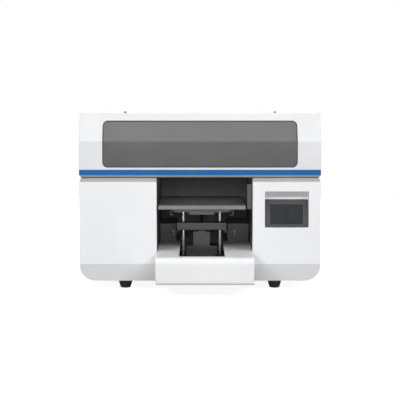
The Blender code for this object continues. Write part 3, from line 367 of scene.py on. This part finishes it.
def circuit_board():
    """Green solder resist over copper tracks."""
    shader = Shader("circuit_board")
    tracks = shader.node("TexBrick")
    tracks.inputs["Scale"].default_value = 120.0
    tracks.inputs["Mortar Size"].default_value = 0.05
    tracks.inputs["Color1"].default_value = (0.008, 0.085, 0.035, 1)
    tracks.inputs["Color2"].default_value = (0.010, 0.110, 0.045, 1)
    tracks.inputs["Mortar"].default_value = (0.030, 0.190, 0.070, 1)
    shader.link(shader.place, tracks.inputs["Vector"])
    shader.colour(tracks.outputs["Color"])
    shader.roughness(shader.noise(60.0), 0.3, 0.5)
    return shader


def make_finishes():
    """One shader for each kind of surface."""
    white = ((0.80, 0.805, 0.81), (0.825, 0.83, 0.835))
    finishes = {
        "moulded_white": coated("moulded_white", *white, (0.34, 0.46), 0.04, 800.0, 0.015),
        # Painted shade: the hood's white is a darker copy of the cover white, to offset the extra light
        # that falls on the hood.
        "hood_white_painted_shade": coated(
            "hood_white_painted_shade", (0.695, 0.70, 0.705), (0.72, 0.725, 0.73), (0.34, 0.46), 0.04, 800.0,
            0.015
        ),
        "sheet_white": coated(
            "sheet_white", (0.79, 0.795, 0.80), (0.81, 0.815, 0.82), (0.4, 0.55), 0.14, 1100.0, 0.03
        ),
        "tray_white": coated(
            "tray_white", (0.77, 0.775, 0.78), (0.80, 0.805, 0.81), (0.30, 0.42), 0.05, 900.0, 0.02
        ),
        "gloss_blue": coated(
            "gloss_blue", (0.0, 0.112, 0.345), (0.001, 0.124, 0.375), (0.40, 0.50), 0.03, 800.0,
            spec=0.22
        ),
        "taupe": coated(
            "taupe", (0.40, 0.388, 0.352), (0.45, 0.437, 0.398), (0.5, 0.65), 0.12, 900.0, 0.04
        ),
        "black_coat": coated(
            "black_coat", (0.190, 0.191, 0.193), (0.225, 0.226, 0.229), (0.5, 0.7), 0.16, 1000.0
        ),
        "black_plastic": coated(
            "black_plastic", (0.020, 0.020, 0.021), (0.028, 0.028, 0.030), (0.42, 0.6), 0.16, 1300.0
        ),
        "bezel_plastic": coated(
            "bezel_plastic", (0.038, 0.039, 0.042), (0.048, 0.050, 0.052), (0.46, 0.60), 0.10,
            1500.0
        ),
        "rubber": rubber("rubber", (0.012, 0.012, 0.013), (0.020, 0.020, 0.021)),
        "foot_rubber": rubber("foot_rubber", (0.045, 0.045, 0.046), (0.065, 0.065, 0.067)),
        "liner_coat": coated(
            "liner_coat", (0.125, 0.126, 0.128), (0.150, 0.151, 0.153), (0.5, 0.7), 0.16, 1000.0
        ),
        "shadow_coat": coated(
            "shadow_coat", (0.045, 0.045, 0.046), (0.062, 0.062, 0.064), (0.5, 0.7), 0.16, 1000.0
        ),
        "guard_coat": guard_coat(),
        # Painted shade: a grey standing in for the shade in the groove under the lid's lip.
        "painted_shade_grey": coated(
            "painted_shade_grey", (0.35, 0.35, 0.35), (0.385, 0.385, 0.385), (0.4, 0.52), 0.08, 900.0, 0.02
        ),
        "anodised": metal(
            "anodised", (0.085, 0.087, 0.090), (0.115, 0.117, 0.121), (0.38, 0.52), (0.04, 1, 1),
            (0.45, 0.45, 0.46), 0.65
        ),
        "platform_skin": metal(
            "platform_skin", (0.185, 0.188, 0.193), (0.225, 0.228, 0.235), (0.42, 0.55),
            (0.02, 1, 1), (0.5, 0.5, 0.51), 0.35
        ),
        "satin_alloy": metal(
            "satin_alloy", (0.185, 0.188, 0.192), (0.24, 0.244, 0.25), (0.40, 0.52), (0.03, 1, 1),
            metallic=0.4
        ),
        "aluminium": metal("aluminium", (0.46, 0.47, 0.48), (0.60, 0.61, 0.62), (0.26, 0.42), (0.03, 1, 1)),
        "zinc": metal("zinc", (0.38, 0.39, 0.40), (0.52, 0.53, 0.54), (0.32, 0.5), (0.3, 0.3, 0.3)),
        "chrome": metal(
            "chrome", (0.90, 0.90, 0.91), (0.96, 0.96, 0.97), (0.16, 0.24), (1, 1, 0.02),
            metallic=0.75, marks=0
        ),
        "rail_steel": metal(
            "rail_steel", (0.50, 0.51, 0.52), (0.64, 0.65, 0.66), (0.16, 0.28), (1, 0.02, 1)
        ),
        # Painted highlight: near-white and barely metallic, so the stop pins look bright where little light
        # reaches them.
        "pin_steel_painted_glint": metal(
            "pin_steel_painted_glint", (0.86, 0.86, 0.87), (0.92, 0.92, 0.93), (0.3, 0.42), metallic=0.1
        ),
        "brass": metal("brass", (0.52, 0.36, 0.13), (0.66, 0.47, 0.19), (0.2, 0.34)),
        "dark_screw": metal("dark_screw", (0.05, 0.05, 0.052), (0.09, 0.09, 0.092), (0.3, 0.45)),
        "smoked_acrylic": smoked_acrylic(),
        "display_glass": display_glass(),
        "circuit_board": circuit_board(),
    }
    return {name: shader.material for name, shader in finishes.items()}


FINISH = make_finishes()


# ---------------------------------------------------------------- pieces made from CAD nodes


def add_piece(name, bm, finish, body, sharp_angle=38):
    """Turns a bmesh into a piece that rides on a body."""
    bmesh.ops.recalc_face_normals(bm, faces=bm.faces)
    bm.normal_update()
    for face in bm.faces:
        face.smooth = True
    for edge in bm.edges:
        edge.smooth = len(edge.link_faces) == 2 and edge.calc_face_angle() < math.radians(sharp_angle)
    mesh = bpy.data.meshes.new(name)
    bm.to_mesh(mesh)
    bm.free()
    mesh.materials.append(FINISH[finish])
    piece = bpy.data.objects.new(name, mesh)
    scene.collection.objects.link(piece)
    weighted = piece.modifiers.new("weighted normals", "WEIGHTED_NORMAL")
    weighted.keep_sharp = True
    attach(piece, body)
    return piece


def clean_copy(node):
    """A CAD node's mesh, welded, with the triangles across its flat faces dissolved."""
    bm = bmesh.new()
    bm.from_mesh(NODES[node].data)
    bmesh.ops.remove_doubles(bm, verts=bm.verts, dist=1e-5)
    bmesh.ops.dissolve_limit(
        bm, angle_limit=math.radians(0.8), verts=bm.verts, edges=bm.edges
    )
    return bm


def sharp_edges(bm, wanted=None, angle=28):
    """The convex edges over an angle; wanted is a test on an edge's middle."""
    bm.normal_update()
    found = []
    for edge in bm.edges:
        if len(edge.link_faces) != 2 or not edge.is_convex:
            continue
        if edge.calc_face_angle() < math.radians(angle):
            continue
        middle = (edge.verts[0].co + edge.verts[1].co) / 2
        if wanted is None or wanted(middle):
            found.append(edge)
    return found


def round_off(bm, edges, width, segments):
    bmesh.ops.bevel(
        bm,
        geom=edges,
        offset=width,
        segments=segments,
        profile=0.5,
        affect="EDGES",
        clamp_overlap=True,
    )


def refine(
    node, finish, width=0.0006, segments=1, outer=None, outer_width=0.0, outer_segments=3, sharp_angle=38
):
    """Replaces a CAD node by its own shape with rounded edges; the outer ones can be rounder."""
    bm = clean_copy(node)
    if outer:
        round_off(bm, sharp_edges(bm, outer), outer_width, outer_segments)
    if width:
        edges = sharp_edges(bm, (lambda middle: not outer(middle)) if outer else None)
        round_off(bm, edges, width, segments)
    piece = add_piece(node + "_finished", bm, finish, BODY_OF[node], sharp_angle)
    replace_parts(piece, node)
    return piece


def paint(node, finish):
    """Gives a CAD node that stays as it is its final material."""
    obj = NODES[node]
    if obj.material_slots:
        for place in obj.material_slots:
            place.material = FINISH[finish]
    else:
        obj.data.materials.append(FINISH[finish])


def near(value, *others):
    return any(abs(value - other) < 0.0012 for other in others)


def finish_shells():
    """The white outer pieces, with the corner radii of the moulded and folded originals."""
    low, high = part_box("upper_shell")
    rear, top, side = high.y, high.z, high.x

    def hood_corner(p):
        return (near(abs(p.x), side) and (near(p.y, rear) or near(p.z, top))) or (
            near(p.y, rear) and near(p.z, top)
        )

    # The hood's darker white is painted shade.
    refine("upper_shell", "hood_white_painted_shade", 0.0006, 1, hood_corner, 0.0040, 4)

    lid_low, lid_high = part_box("lid_shell")
    window_low, window_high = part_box("lid_window")

    def lid_corner(p):
        inside_window = abs(p.x) < window_high.x + 0.002
        on_side = near(abs(p.x), lid_high.x) and p.y < lid_high.y - 0.002 and p.z > lid_low.z + 0.001
        bend = not inside_window and p.y < lid_high.y - 0.002 and p.z > lid_low.z + 0.001
        across = inside_window and (p.z > window_high.z + 0.004) and p.y < lid_high.y - 0.002
        return on_side or bend or across

    refine("lid_shell", "hood_white_painted_shade", 0.0008, 2, lid_corner, 0.0030, 6, 17)

    def stripe_corner(p):
        return near(p.y, lid_low.y) and near(abs(p.x), side)

    refine("lid_stripe", "gloss_blue", 0.0005, 1, stripe_corner, 0.0028, 3)
    refine("lid_lip", "taupe", 0.0012, 2)
    refine("lid_window", "smoked_acrylic", 0.0005, 2, sharp_angle=20)

    for node in ("front_cover_left", "front_cover_right"):
        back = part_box(node)[0].y + 0.0295
        refine(node, "moulded_white", 0.0005, 1, lambda p: p.y < back and p.z > 0.0345, 0.0016, 6, 17)
    for node in ("side_panel_left", "side_panel_right", "rear_cover"):
        refine(node, "sheet_white", 0.0006, 2)

    tray_low, tray_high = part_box("tray")
    refine(
        "tray",
        "tray_white",
        0.0008,
        2,
        lambda p: near(p.x, tray_low.x, tray_high.x) and p.y < tray_high.y - 0.002,
        0.0010,
        3,
    )


def finish_table():
    refine("platform", "platform_skin", 0.0010, 2)
    refine("platform_frame", "satin_alloy", 0.0006, 2)
    for node in ("lift_crossbar", "lift_column", "y_carriage_plate", "height_sensor"):
        refine(node, "anodised", 0.0007, 2)
    refine("bed_frame", "anodised", 0.0008, 1)
    for node in ("table_rest_left", "table_rest_right"):
        refine(node, "black_coat", 0.0010, 2)
    for node in ("y_bearing_left", "y_bearing_right"):
        refine(node, "zinc", 0.0008, 2)
    for node in ("y_rail_left", "y_rail_right"):
        paint(node, "rail_steel")
    paint("x_rail", "rail_steel")


def finish_inside():
    refine("gantry_beam", "aluminium", 0.0008, 2)
    refine("carriage_frame", "aluminium", 0.0006, 1)
    refine("uv_lamp", "aluminium", 0.0005, 1)
    refine("carriage_cover", "moulded_white", 0.0)
    refine("print_head", "black_plastic", 0.0010, 2)
    for node in ("screen_bezel", "power_inlet", "rocker_switch", "ink_rack"):
        refine(node, "bezel_plastic" if node == "screen_bezel" else "black_plastic", 0.0005, 2)
    for node in ("x_motor", "y_motor"):
        paint(node, "black_plastic")
    paint("screen_glass", "display_glass")
    paint("mainboard", "circuit_board")
    paint("lift_nut", "brass")
    paint("base_pan", "black_coat")
    paint("bay_liner", "liner_coat")
    paint("deck_plate", "shadow_coat")
    for node in ("cap_guide", "power_supply"):
        paint(node, "zinc")
    for node in ("cap", "x_belt", "y_belt"):
        paint(node, "rubber")


# ---------------------------------------------------------------- small fittings

FACING = {
    "front": Matrix.Rotation(math.radians(90), 4, "X"),
    "back": Matrix.Rotation(math.radians(-90), 4, "X"),
    "up": Matrix.Identity(4),
    "down": Matrix.Rotation(math.radians(180), 4, "X"),
    "right": Matrix.Rotation(math.radians(90), 4, "Y"),
    "left": Matrix.Rotation(math.radians(-90), 4, "Y"),
}


def lathe(bm, profile, place, segments=20):
    """Adds a turned shape round place's Z; the profile holds (radius, height) from top to bottom."""
    rings = []
    for radius, height in profile:
        if radius == 0:
            rings.append([bm.verts.new(place @ Vector((0, 0, height)))])
            continue
        ring = []
        for step in range(segments):
            angle = 2 * math.pi * step / segments
            point = Vector((radius * math.cos(angle), radius * math.sin(angle), height))
            ring.append(bm.verts.new(place @ point))
        rings.append(ring)
    for upper, lower in zip(rings, rings[1:]):
        for step in range(segments):
            after = (step + 1) % segments
            corners = [upper[step % len(upper)], upper[after % len(upper)]]
            corners += [lower[after % len(lower)], lower[step % len(lower)]]
            unique = list(dict.fromkeys(corners))
            if len(unique) > 2:
                bm.faces.new(unique)


def add_box(bm, low, high, bevel=0.0, segments=2):
    """Adds a box with rounded edges."""
    made = bmesh.ops.create_cube(bm, size=1.0)["verts"]
    size = [b - a for a, b in zip(low, high)]
    bmesh.ops.scale(bm, vec=size, verts=made)
    bmesh.ops.translate(bm, vec=[(a + b) / 2 for a, b in zip(low, high)], verts=made)
    if bevel:
        edges = list({edge for vert in made for edge in vert.link_edges})
        round_off(bm, edges, bevel, segments)


def screw_profile(radius, height):
    """A domed cap head with a socket sunk into it."""
    socket = radius * 0.5
    return [
        (0, height * 0.35), (socket, height * 0.35), (socket, height * 0.92),
        (socket + radius * 0.08, height), (radius * 0.72, height * 0.93),
        (radius * 0.92, height * 0.62), (radius, height * 0.25), (radius, 0), (0, 0),
    ]


def screws(name, body, finish, facing, places, radius=0.003, height=0.0014):
    """A set of screws with their heads facing one way."""
    bm = bmesh.new()
    for place in places:
        lathe(bm, screw_profile(radius, height), Matrix.Translation(place) @ FACING[facing], 18)
    return add_piece(name, bm, finish, body)


def add_screws():
    low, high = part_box("rear_cover")
    inset = 0.014
    columns = (-0.43, -0.22, 0.0, 0.22, 0.43)
    places = [(x, high.y, high.z - inset) for x in columns]
    places += [(x, high.y, low.z + inset) for x in columns[1:-1]]
    places += [(x, high.y, 0.20) for x in (columns[0], columns[-1])]
    screws("rear_cover_screws", "base", "zinc", "back", places, 0.0036)

    hood_low, hood_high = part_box("upper_shell")
    places = [(x, hood_high.y, hood_low.z + inset) for x in columns]
    screws("hood_screws", "base", "zinc", "back", places, 0.0036)

    low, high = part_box("platform")
    xs = (low.x + 0.012, (low.x + high.x) / 2, high.x - 0.012)
    ys = (low.y + 0.012, (low.y + high.y) / 2, high.y - 0.012)
    places = [(x, y, high.z - 0.0004) for x in xs for y in ys if (x, y) != (xs[1], ys[1])]
    screws("platform_screws", "platform", "dark_screw", "up", places, 0.0032, 0.0007)

    low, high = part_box("lift_crossbar")
    places = [(x, low.y, (low.z + high.z) / 2) for x in (low.x + 0.012, high.x - 0.012)]
    screws("crossbar_screws", "y_carriage", "dark_screw", "front", places, 0.0030)

    low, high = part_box("lift_column")
    places = [
        (x, low.y, z) for x in (low.x + 0.010, high.x - 0.010) for z in (low.z + 0.012, high.z - 0.012)
    ]
    screws("column_screws", "y_carriage", "dark_screw", "front", places, 0.0024)

    for side in ("left", "right"):
        low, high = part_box("y_rail_" + side)
        middle, count = (low.x + high.x) / 2, 12
        step = (high.y - low.y - 0.04) / (count - 1)
        places = [(middle, low.y + 0.02 + step * i, high.z - 0.0006) for i in range(count)]
        screws(f"rail_screws_{side}", "base", "dark_screw", "up", places, 0.0034, 0.0008)

    low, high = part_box("x_rail")
    count = 14
    step = (high.x - low.x - 0.04) / (count - 1)
    places = [(low.x + 0.02 + step * i, low.y, (low.z + high.z) / 2) for i in range(count)]
    places = [(x, y + 0.0007, z) for x, y, z in places]
    screws("x_rail_screws", "base", "dark_screw", "front", places, 0.0034, 0.0008)


def add_rods():
    """Ground lift rods with chamfered ends, wiper seals in the crossbar, and the threaded screw."""
    for side in ("left", "right"):
        node = "lift_rod_" + side
        low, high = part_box(node)
        radius, length = (high.x - low.x) / 2, high.z - low.z
        chamfer = 0.001
        profile = [
            (0, length), (radius - chamfer, length), (radius, length - chamfer),
            (radius, chamfer), (radius - chamfer, 0), (0, 0),
        ]
        centre = Vector(((low.x + high.x) / 2, (low.y + high.y) / 2, low.z))
        bm = bmesh.new()
        lathe(bm, profile, Matrix.Translation(centre), 48)
        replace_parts(add_piece(node + "_ground", bm, "chrome", "platform"), node)

        bar_low, bar_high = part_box("lift_crossbar")
        bm = bmesh.new()
        clear, width, rise = radius + 0.0002, 0.0035, 0.0022
        ring = [
            (clear, rise), (clear + width * 0.7, rise), (clear + width, rise * 0.5),
            (clear + width, 0), (clear, 0), (clear, rise),
        ]
        seat = Vector((centre.x, centre.y, bar_high.z))
        lathe(bm, ring, Matrix.Translation(seat), 32)
        seat.z = bar_low.z
        lathe(bm, ring, Matrix.Translation(seat) @ FACING["down"], 32)
        bmesh.ops.remove_doubles(bm, verts=bm.verts, dist=1e-6)
        add_piece("rod_seal_" + side, bm, "rubber", "y_carriage")

    low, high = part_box("lead_screw")
    centre = Vector(((low.x + high.x) / 2, (low.y + high.y) / 2, 0))
    radius, pitch, per_turn = (high.x - low.x) / 2, 0.0025, 24
    bm = bmesh.new()
    turns = int((high.z - low.z) / pitch)
    rows = []
    depth = 0.0009
    for step in range(turns * per_turn + 1):
        angle = 2 * math.pi * step / per_turn
        height = low.z + pitch * step / per_turn
        row = []
        for share, cut in ((0.0, depth), (0.35, 0.0), (0.65, 0.0)):
            reach = radius - cut
            point = (reach * math.cos(angle), reach * math.sin(angle), height + share * pitch)
            row.append(bm.verts.new(Vector(point) + centre))
        rows.append(row)
    for here, after in zip(rows, rows[1:]):
        for i in range(2):
            bm.faces.new((here[i], after[i], after[i + 1], here[i + 1]))
    for here, above in zip(rows, rows[per_turn:]):
        here.append(above[0])
    for here, after in zip(rows, rows[1:]):
        if len(here) == 4 and len(after) == 4:
            bm.faces.new((here[2], after[2], after[3], here[3]))
    bmesh.ops.holes_fill(bm, edges=[edge for edge in bm.edges if edge.is_boundary], sides=0)
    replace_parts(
        add_piece("lead_screw_threaded", bm, "dark_screw", "platform", 60), "lead_screw"
    )


def add_feet():
    """Rubber feet with a moulded rib, a screw recess and a worn lower rim."""
    for end in ("front", "rear"):
        for side in ("left", "right"):
            node = f"foot_{end}_{side}"
            low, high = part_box(node)
            top, height = (high.x - low.x) / 2, high.z - low.z
            bottom = top * 0.69
            profile = [(0, height), (top - 0.0015, height), (top, height - 0.0015)]
            profile += [(top, height - 0.004), (top - 0.0012, height - 0.0050)]
            steps = 6
            for step in range(steps + 1):
                share = step / steps
                reach = (top - 0.0012) * (1 - share) + bottom * share
                profile.append((reach, (height - 0.0058) * (1 - share) + 0.0030 * share))
            profile += [(bottom - 0.0008, 0.0010), (bottom - 0.0030, 0.0)]
            profile += [(0.0060, 0.0), (0.0060, 0.0060), (0, 0.0060)]
            place = Matrix.Translation(((low.x + high.x) / 2, (low.y + high.y) / 2, low.z))
            bm = bmesh.new()
            lathe(bm, profile, place, 48)
            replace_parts(add_piece(node + "_moulded", bm, "foot_rubber", "base"), node)


def add_pulley(node, body, axis):
    """A toothed pulley with its flanges, in the outline of its CAD node."""
    low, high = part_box(node)
    bm = clean_copy(node)
    centre = (low + high) / 2
    piece = add_piece(node + "_turned", bm, "aluminium", body, 30)
    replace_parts(piece, node)
    index = "XYZ".index(axis)
    radius, teeth = 0.0081, 20
    others = [i for i in range(3) if i != index]
    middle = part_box("x_belt" if axis == "Z" else "y_belt")
    low_face, high_face = middle[0][index], middle[1][index]
    bm = bmesh.new()
    for tooth in range(teeth):
        angle = 2 * math.pi * tooth / teeth
        place = centre.copy()
        place[index] = (low_face + high_face) / 2
        size = [0.0, 0.0, 0.0]
        made = bmesh.ops.create_cube(bm, size=1.0)["verts"]
        size[index] = high_face - low_face - 0.0006
        size[others[0]], size[others[1]] = 0.0010, 0.0012
        bmesh.ops.scale(bm, vec=size, verts=made)
        turn = Matrix.Rotation(angle if index != 1 else -angle, 4, axis)
        reach = [0.0, 0.0, 0.0]
        reach[others[0]] = radius - 0.0005
        bmesh.ops.translate(bm, vec=reach, verts=made)
        bmesh.ops.transform(bm, matrix=Matrix.Translation(place) @ turn, verts=made)
    add_piece(node + "_teeth", bm, "aluminium", body)


def add_lid_fittings():
    """The gasket round the window and the moving leaves of the hinges."""
    window_low, window_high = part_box("lid_window")
    lid_low, lid_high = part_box("lid_shell")
    bend_z = LID_BEND
    run, rise = LID_SLOPE_RUN, lid_high.z - bend_z
    slant = math.hypot(run, rise)

    def on_face(x, z, lift):
        """A point on the lid's front, a little in front of its upright part or above its slope."""
        if z <= bend_z:
            return Vector((x, lid_low.y - lift, z))
        forward = (z - bend_z) * run / rise
        return Vector((x, lid_low.y + forward - lift * rise / slant, z + lift * run / slant))

    def outline(margin, per_corner=8):
        half_x = window_high.x - margin
        low_z, high_z = window_low.z + margin, window_high.z - margin
        radius = WINDOW_CORNER - margin
        points = []
        corners = (
            (half_x, high_z, 0), (-half_x, high_z, 90), (-half_x, low_z, 180), (half_x, low_z, 270)
        )
        for x, z, first in corners:
            cx = x - math.copysign(radius, x)
            cz = z - radius if z == high_z else z + radius
            for step in range(per_corner + 1):
                angle = math.radians(first + 90 * step / per_corner)
                points.append((cx + radius * math.cos(angle), cz + radius * math.sin(angle)))
            if first in (90, 270):
                points.append((cx + radius * math.cos(angle), bend_z))
        return points

    bm = bmesh.new()
    sections = ((-0.0011, 0.0), (-0.0008, 0.0007), (0.0030, 0.0007), (0.0034, 0.0))
    rows = [[bm.verts.new(on_face(x, z, lift)) for x, z in outline(margin)] for margin, lift in sections]
    count = len(rows[0])
    for inner, outer in zip(rows, rows[1:] + rows[:1]):
        for i in range(count):
            j = (i + 1) % count
            bm.faces.new((inner[i], inner[j], outer[j], outer[i]))
    add_piece("window_gasket", bm, "bezel_plastic", "lid", 50)

    for side in ("left", "right"):
        low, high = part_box("lid_hinge_" + side)
        x, axis_y = (low.x + high.x) / 2, low.y + 0.0022
        bm = bmesh.new()
        leaf_low = (x - 0.0045, axis_y - 0.0180, lid_high.z + 0.0001)
        leaf_high = (x + 0.0045, axis_y - 0.0030, lid_high.z + 0.0013)
        add_box(bm, leaf_low, leaf_high, 0.0004)
        for forward in (0.0070, 0.0140):
            place = Matrix.Translation((x, axis_y - forward, lid_high.z + 0.0012))
            lathe(bm, screw_profile(0.0018, 0.0007), place, 14)
        add_piece("hinge_leaf_" + side, bm, "black_plastic", "lid")
        refine("lid_hinge_" + side, "black_plastic", 0.0003, 1)


def add_shoulder_shade_strips():
    """Grey strips of painted shade on the chamfer along the top of the front covers and the side panels,
    where the lid's overhang shades the groove below it.
    """
    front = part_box("front_cover_left")[0].y
    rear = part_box("side_panel_left")[1].y
    low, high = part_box("side_panel_left")
    run, fall, half, thick = 0.007, 0.0148, -low.x, 0.0004
    slant = math.hypot(run, fall)
    out, up = fall / slant * thick, run / slant * thick

    def row(share, lift):
        """The corner points of the strip at a share of the way up the chamfer."""
        inboard = run * share - out * lift
        z = high.z - fall * (1 - share) + up * lift
        return inboard, z

    for side, sign, inner in (
        ("left", -1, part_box("front_cover_left")[1].x),
        ("right", 1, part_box("front_cover_right")[0].x),
    ):
        outline = ((0.06, 0), (0.06, 0.7), (0.10, 1), (0.93, 1), (0.97, 0.7), (0.97, 0))
        sections = [row(share, lift) for share, lift in outline]
        bm = bmesh.new()
        rows = []
        for inboard, z in sections:
            corner_x = sign * (half - inboard)
            points = [(inner, front + inboard, z)]
            reach = 0.0045 - inboard * 0.3
            for step in range(5):
                angle = math.pi / 2 * step / 4
                x = corner_x - sign * reach * (1 - math.sin(angle))
                y = front + inboard + reach * (1 - math.cos(angle))
                points.append((x, y, z))
            points.append((corner_x, rear - 0.0004, z))
            rows.append([bm.verts.new(point) for point in points])
        for here, after in zip(rows, rows[1:] + rows[:1]):
            for i in range(len(here) - 1):
                bm.faces.new((here[i], here[i + 1], after[i + 1], after[i]))
        for end in (0, -1):
            bm.faces.new([line[end] for line in rows])
        add_piece("shoulder_shade_strip_" + side, bm, "painted_shade_grey", "base")


def add_table_fittings():
    """Screws in the frame's rails, the column's guard, the rests' buffers and the stop pins."""
    low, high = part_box("platform_frame")
    depths = (low.y + 0.030, (low.y + high.y) / 2, high.y - 0.030)
    for side, x, facing in (("left", low.x, "left"), ("right", high.x, "right")):
        places = [(x, y, high.z - 0.010) for y in depths]
        screws("frame_screws_" + side, "platform", "dark_screw", facing, places, 0.003)

    low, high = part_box("lift_column")
    rod_low, rod_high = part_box("lift_rod_left")
    plate_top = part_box("y_carriage_plate")[1].z
    half, front = 0.0615, low.y - 0.026
    middle = (low.x + high.x) / 2
    section = [
        (low.y - 0.0004, 0.1500), (front, 0.1310), (front, plate_top + 0.0003),
        (front + 0.0020, plate_top + 0.0003), (front + 0.0020, 0.1298), (low.y - 0.0004, 0.1475),
    ]
    bm = bmesh.new()
    ends = [[bm.verts.new((x, y, z)) for y, z in section] for x in (middle - half, middle + half)]
    for i in range(len(section)):
        j = (i + 1) % len(section)
        bm.faces.new((ends[0][i], ends[0][j], ends[1][j], ends[1][i]))
    for end in ends:
        bm.faces.new(end)
    round_off(bm, sharp_edges(bm), 0.0005, 2)
    # The skirt's coat carries painted shade: it is darker towards its lower edge.
    add_piece("carriage_skirt", bm, "guard_coat", "y_carriage")

    for side, x, inner in (("left", -0.109, 1), ("right", 0.143, -1)):
        low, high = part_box("table_rest_" + side)
        edge = high.x if inner > 0 else low.x
        reach = sorted((edge + inner * 0.0002, edge + inner * 0.0150))
        bm = bmesh.new()
        add_box(bm, (reach[0], low.y, 0.1765), (reach[1], low.y + 0.012, 0.1900), 0.0008)
        add_piece("rest_buffer_" + side, bm, "black_coat", "base")
        bm = bmesh.new()
        place = Matrix.Translation((x, low.y - 0.0066, 0.1595))
        profile = [(0, 0.0295), (0.0030, 0.0292), (0.0050, 0.0276), (0.0056, 0.0256), (0.0048, 0.0232)]
        profile += [(0.0016, 0.0220), (0.0016, 0.0), (0, 0)]
        lathe(bm, profile, place, 24)
        # The stop pins' near-white finish is a painted highlight.
        add_piece("stop_pin_" + side, bm, "pin_steel_painted_glint", "base")
        bm = bmesh.new()
        add_box(bm, (x - 0.005, low.y - 0.0108, 0.1560), (x + 0.005, low.y + 0.0298, 0.1593), 0.0005)
        add_piece("stop_bracket_" + side, bm, "black_coat", "base")


def add_rear_ports():
    """A recessed-looking port plate at the back: a square data socket and a network socket."""
    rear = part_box("rear_cover")[1].y
    low = Vector((-0.250, rear, 0.0935))
    bm = bmesh.new()
    add_box(bm, low, (low.x + 0.056, rear + 0.0012, low.z + 0.033), 0.0004)
    add_piece("port_plate", bm, "zinc", "base")
    sockets = (("data_socket", 0.010, 0.012, 0.011), ("network_socket", 0.031, 0.016, 0.0135))
    for name, x, width, height in sockets:
        bm = bmesh.new()
        z = low.z + 0.0165 - height / 2
        wall = 0.0010
        left, right = low.x + x, low.x + x + width
        front, back = rear + 0.0012, rear + 0.0030
        add_box(bm, (left, front, z), (left + wall, back, z + height), 0.0002)
        add_box(bm, (right - wall, front, z), (right, back, z + height), 0.0002)
        add_box(bm, (left + wall, front, z), (right - wall, back, z + wall), 0.0002)
        add_box(bm, (left + wall, front, z + height - wall), (right - wall, back, z + height), 0.0002)
        add_box(bm, (left + wall, front, z + wall), (right - wall, front + 0.0003, z + height - wall))
        add_piece(name, bm, "black_plastic", "base")


def add_screen_fittings():
    """Four small screws on the leaning bezel."""
    low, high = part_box("screen_bezel")
    lean = math.atan2(SCREEN_SETBACK, SCREEN_RISE)
    slope = Matrix.Rotation(-lean, 4, "X") @ FACING["front"]
    bm = bmesh.new()
    for x in (low.x + 0.007, high.x - 0.007):
        for share in (0.065, 0.935):
            z = SCREEN_BOTTOM + SCREEN_RISE * share
            y = FRONT_Y + SCREEN_SETBACK * share
            lathe(bm, screw_profile(0.0022, 0.0008), Matrix.Translation((x, y, z)) @ slope, 16)
    add_piece("bezel_screws", bm, "dark_screw", "base")


def add_lamp_window():
    low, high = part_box("uv_lamp")
    bm = bmesh.new()
    pane_low = (low.x + 0.006, low.y + 0.008, low.z - 0.0006)
    pane_high = (high.x - 0.006, high.y - 0.008, low.z + 0.0010)
    add_box(bm, pane_low, pane_high, 0.0004)
    add_piece("lamp_window", bm, "display_glass", "print_carriage")


add_camera()
add_studio()
finish_shells()
finish_table()
finish_inside()
add_screws()
add_rods()
add_feet()
add_pulley("y_drive_pulley", "y_drive_pulley", "X")
add_pulley("y_idler_pulley", "y_idler_pulley", "X")
add_pulley("x_drive_pulley", "x_drive_pulley", "Z")
add_pulley("x_idler_pulley", "x_idler_pulley", "Z")
add_lid_fittings()
add_shoulder_shade_strips()
add_table_fittings()
add_rear_ports()
add_screen_fittings()
add_lamp_window()
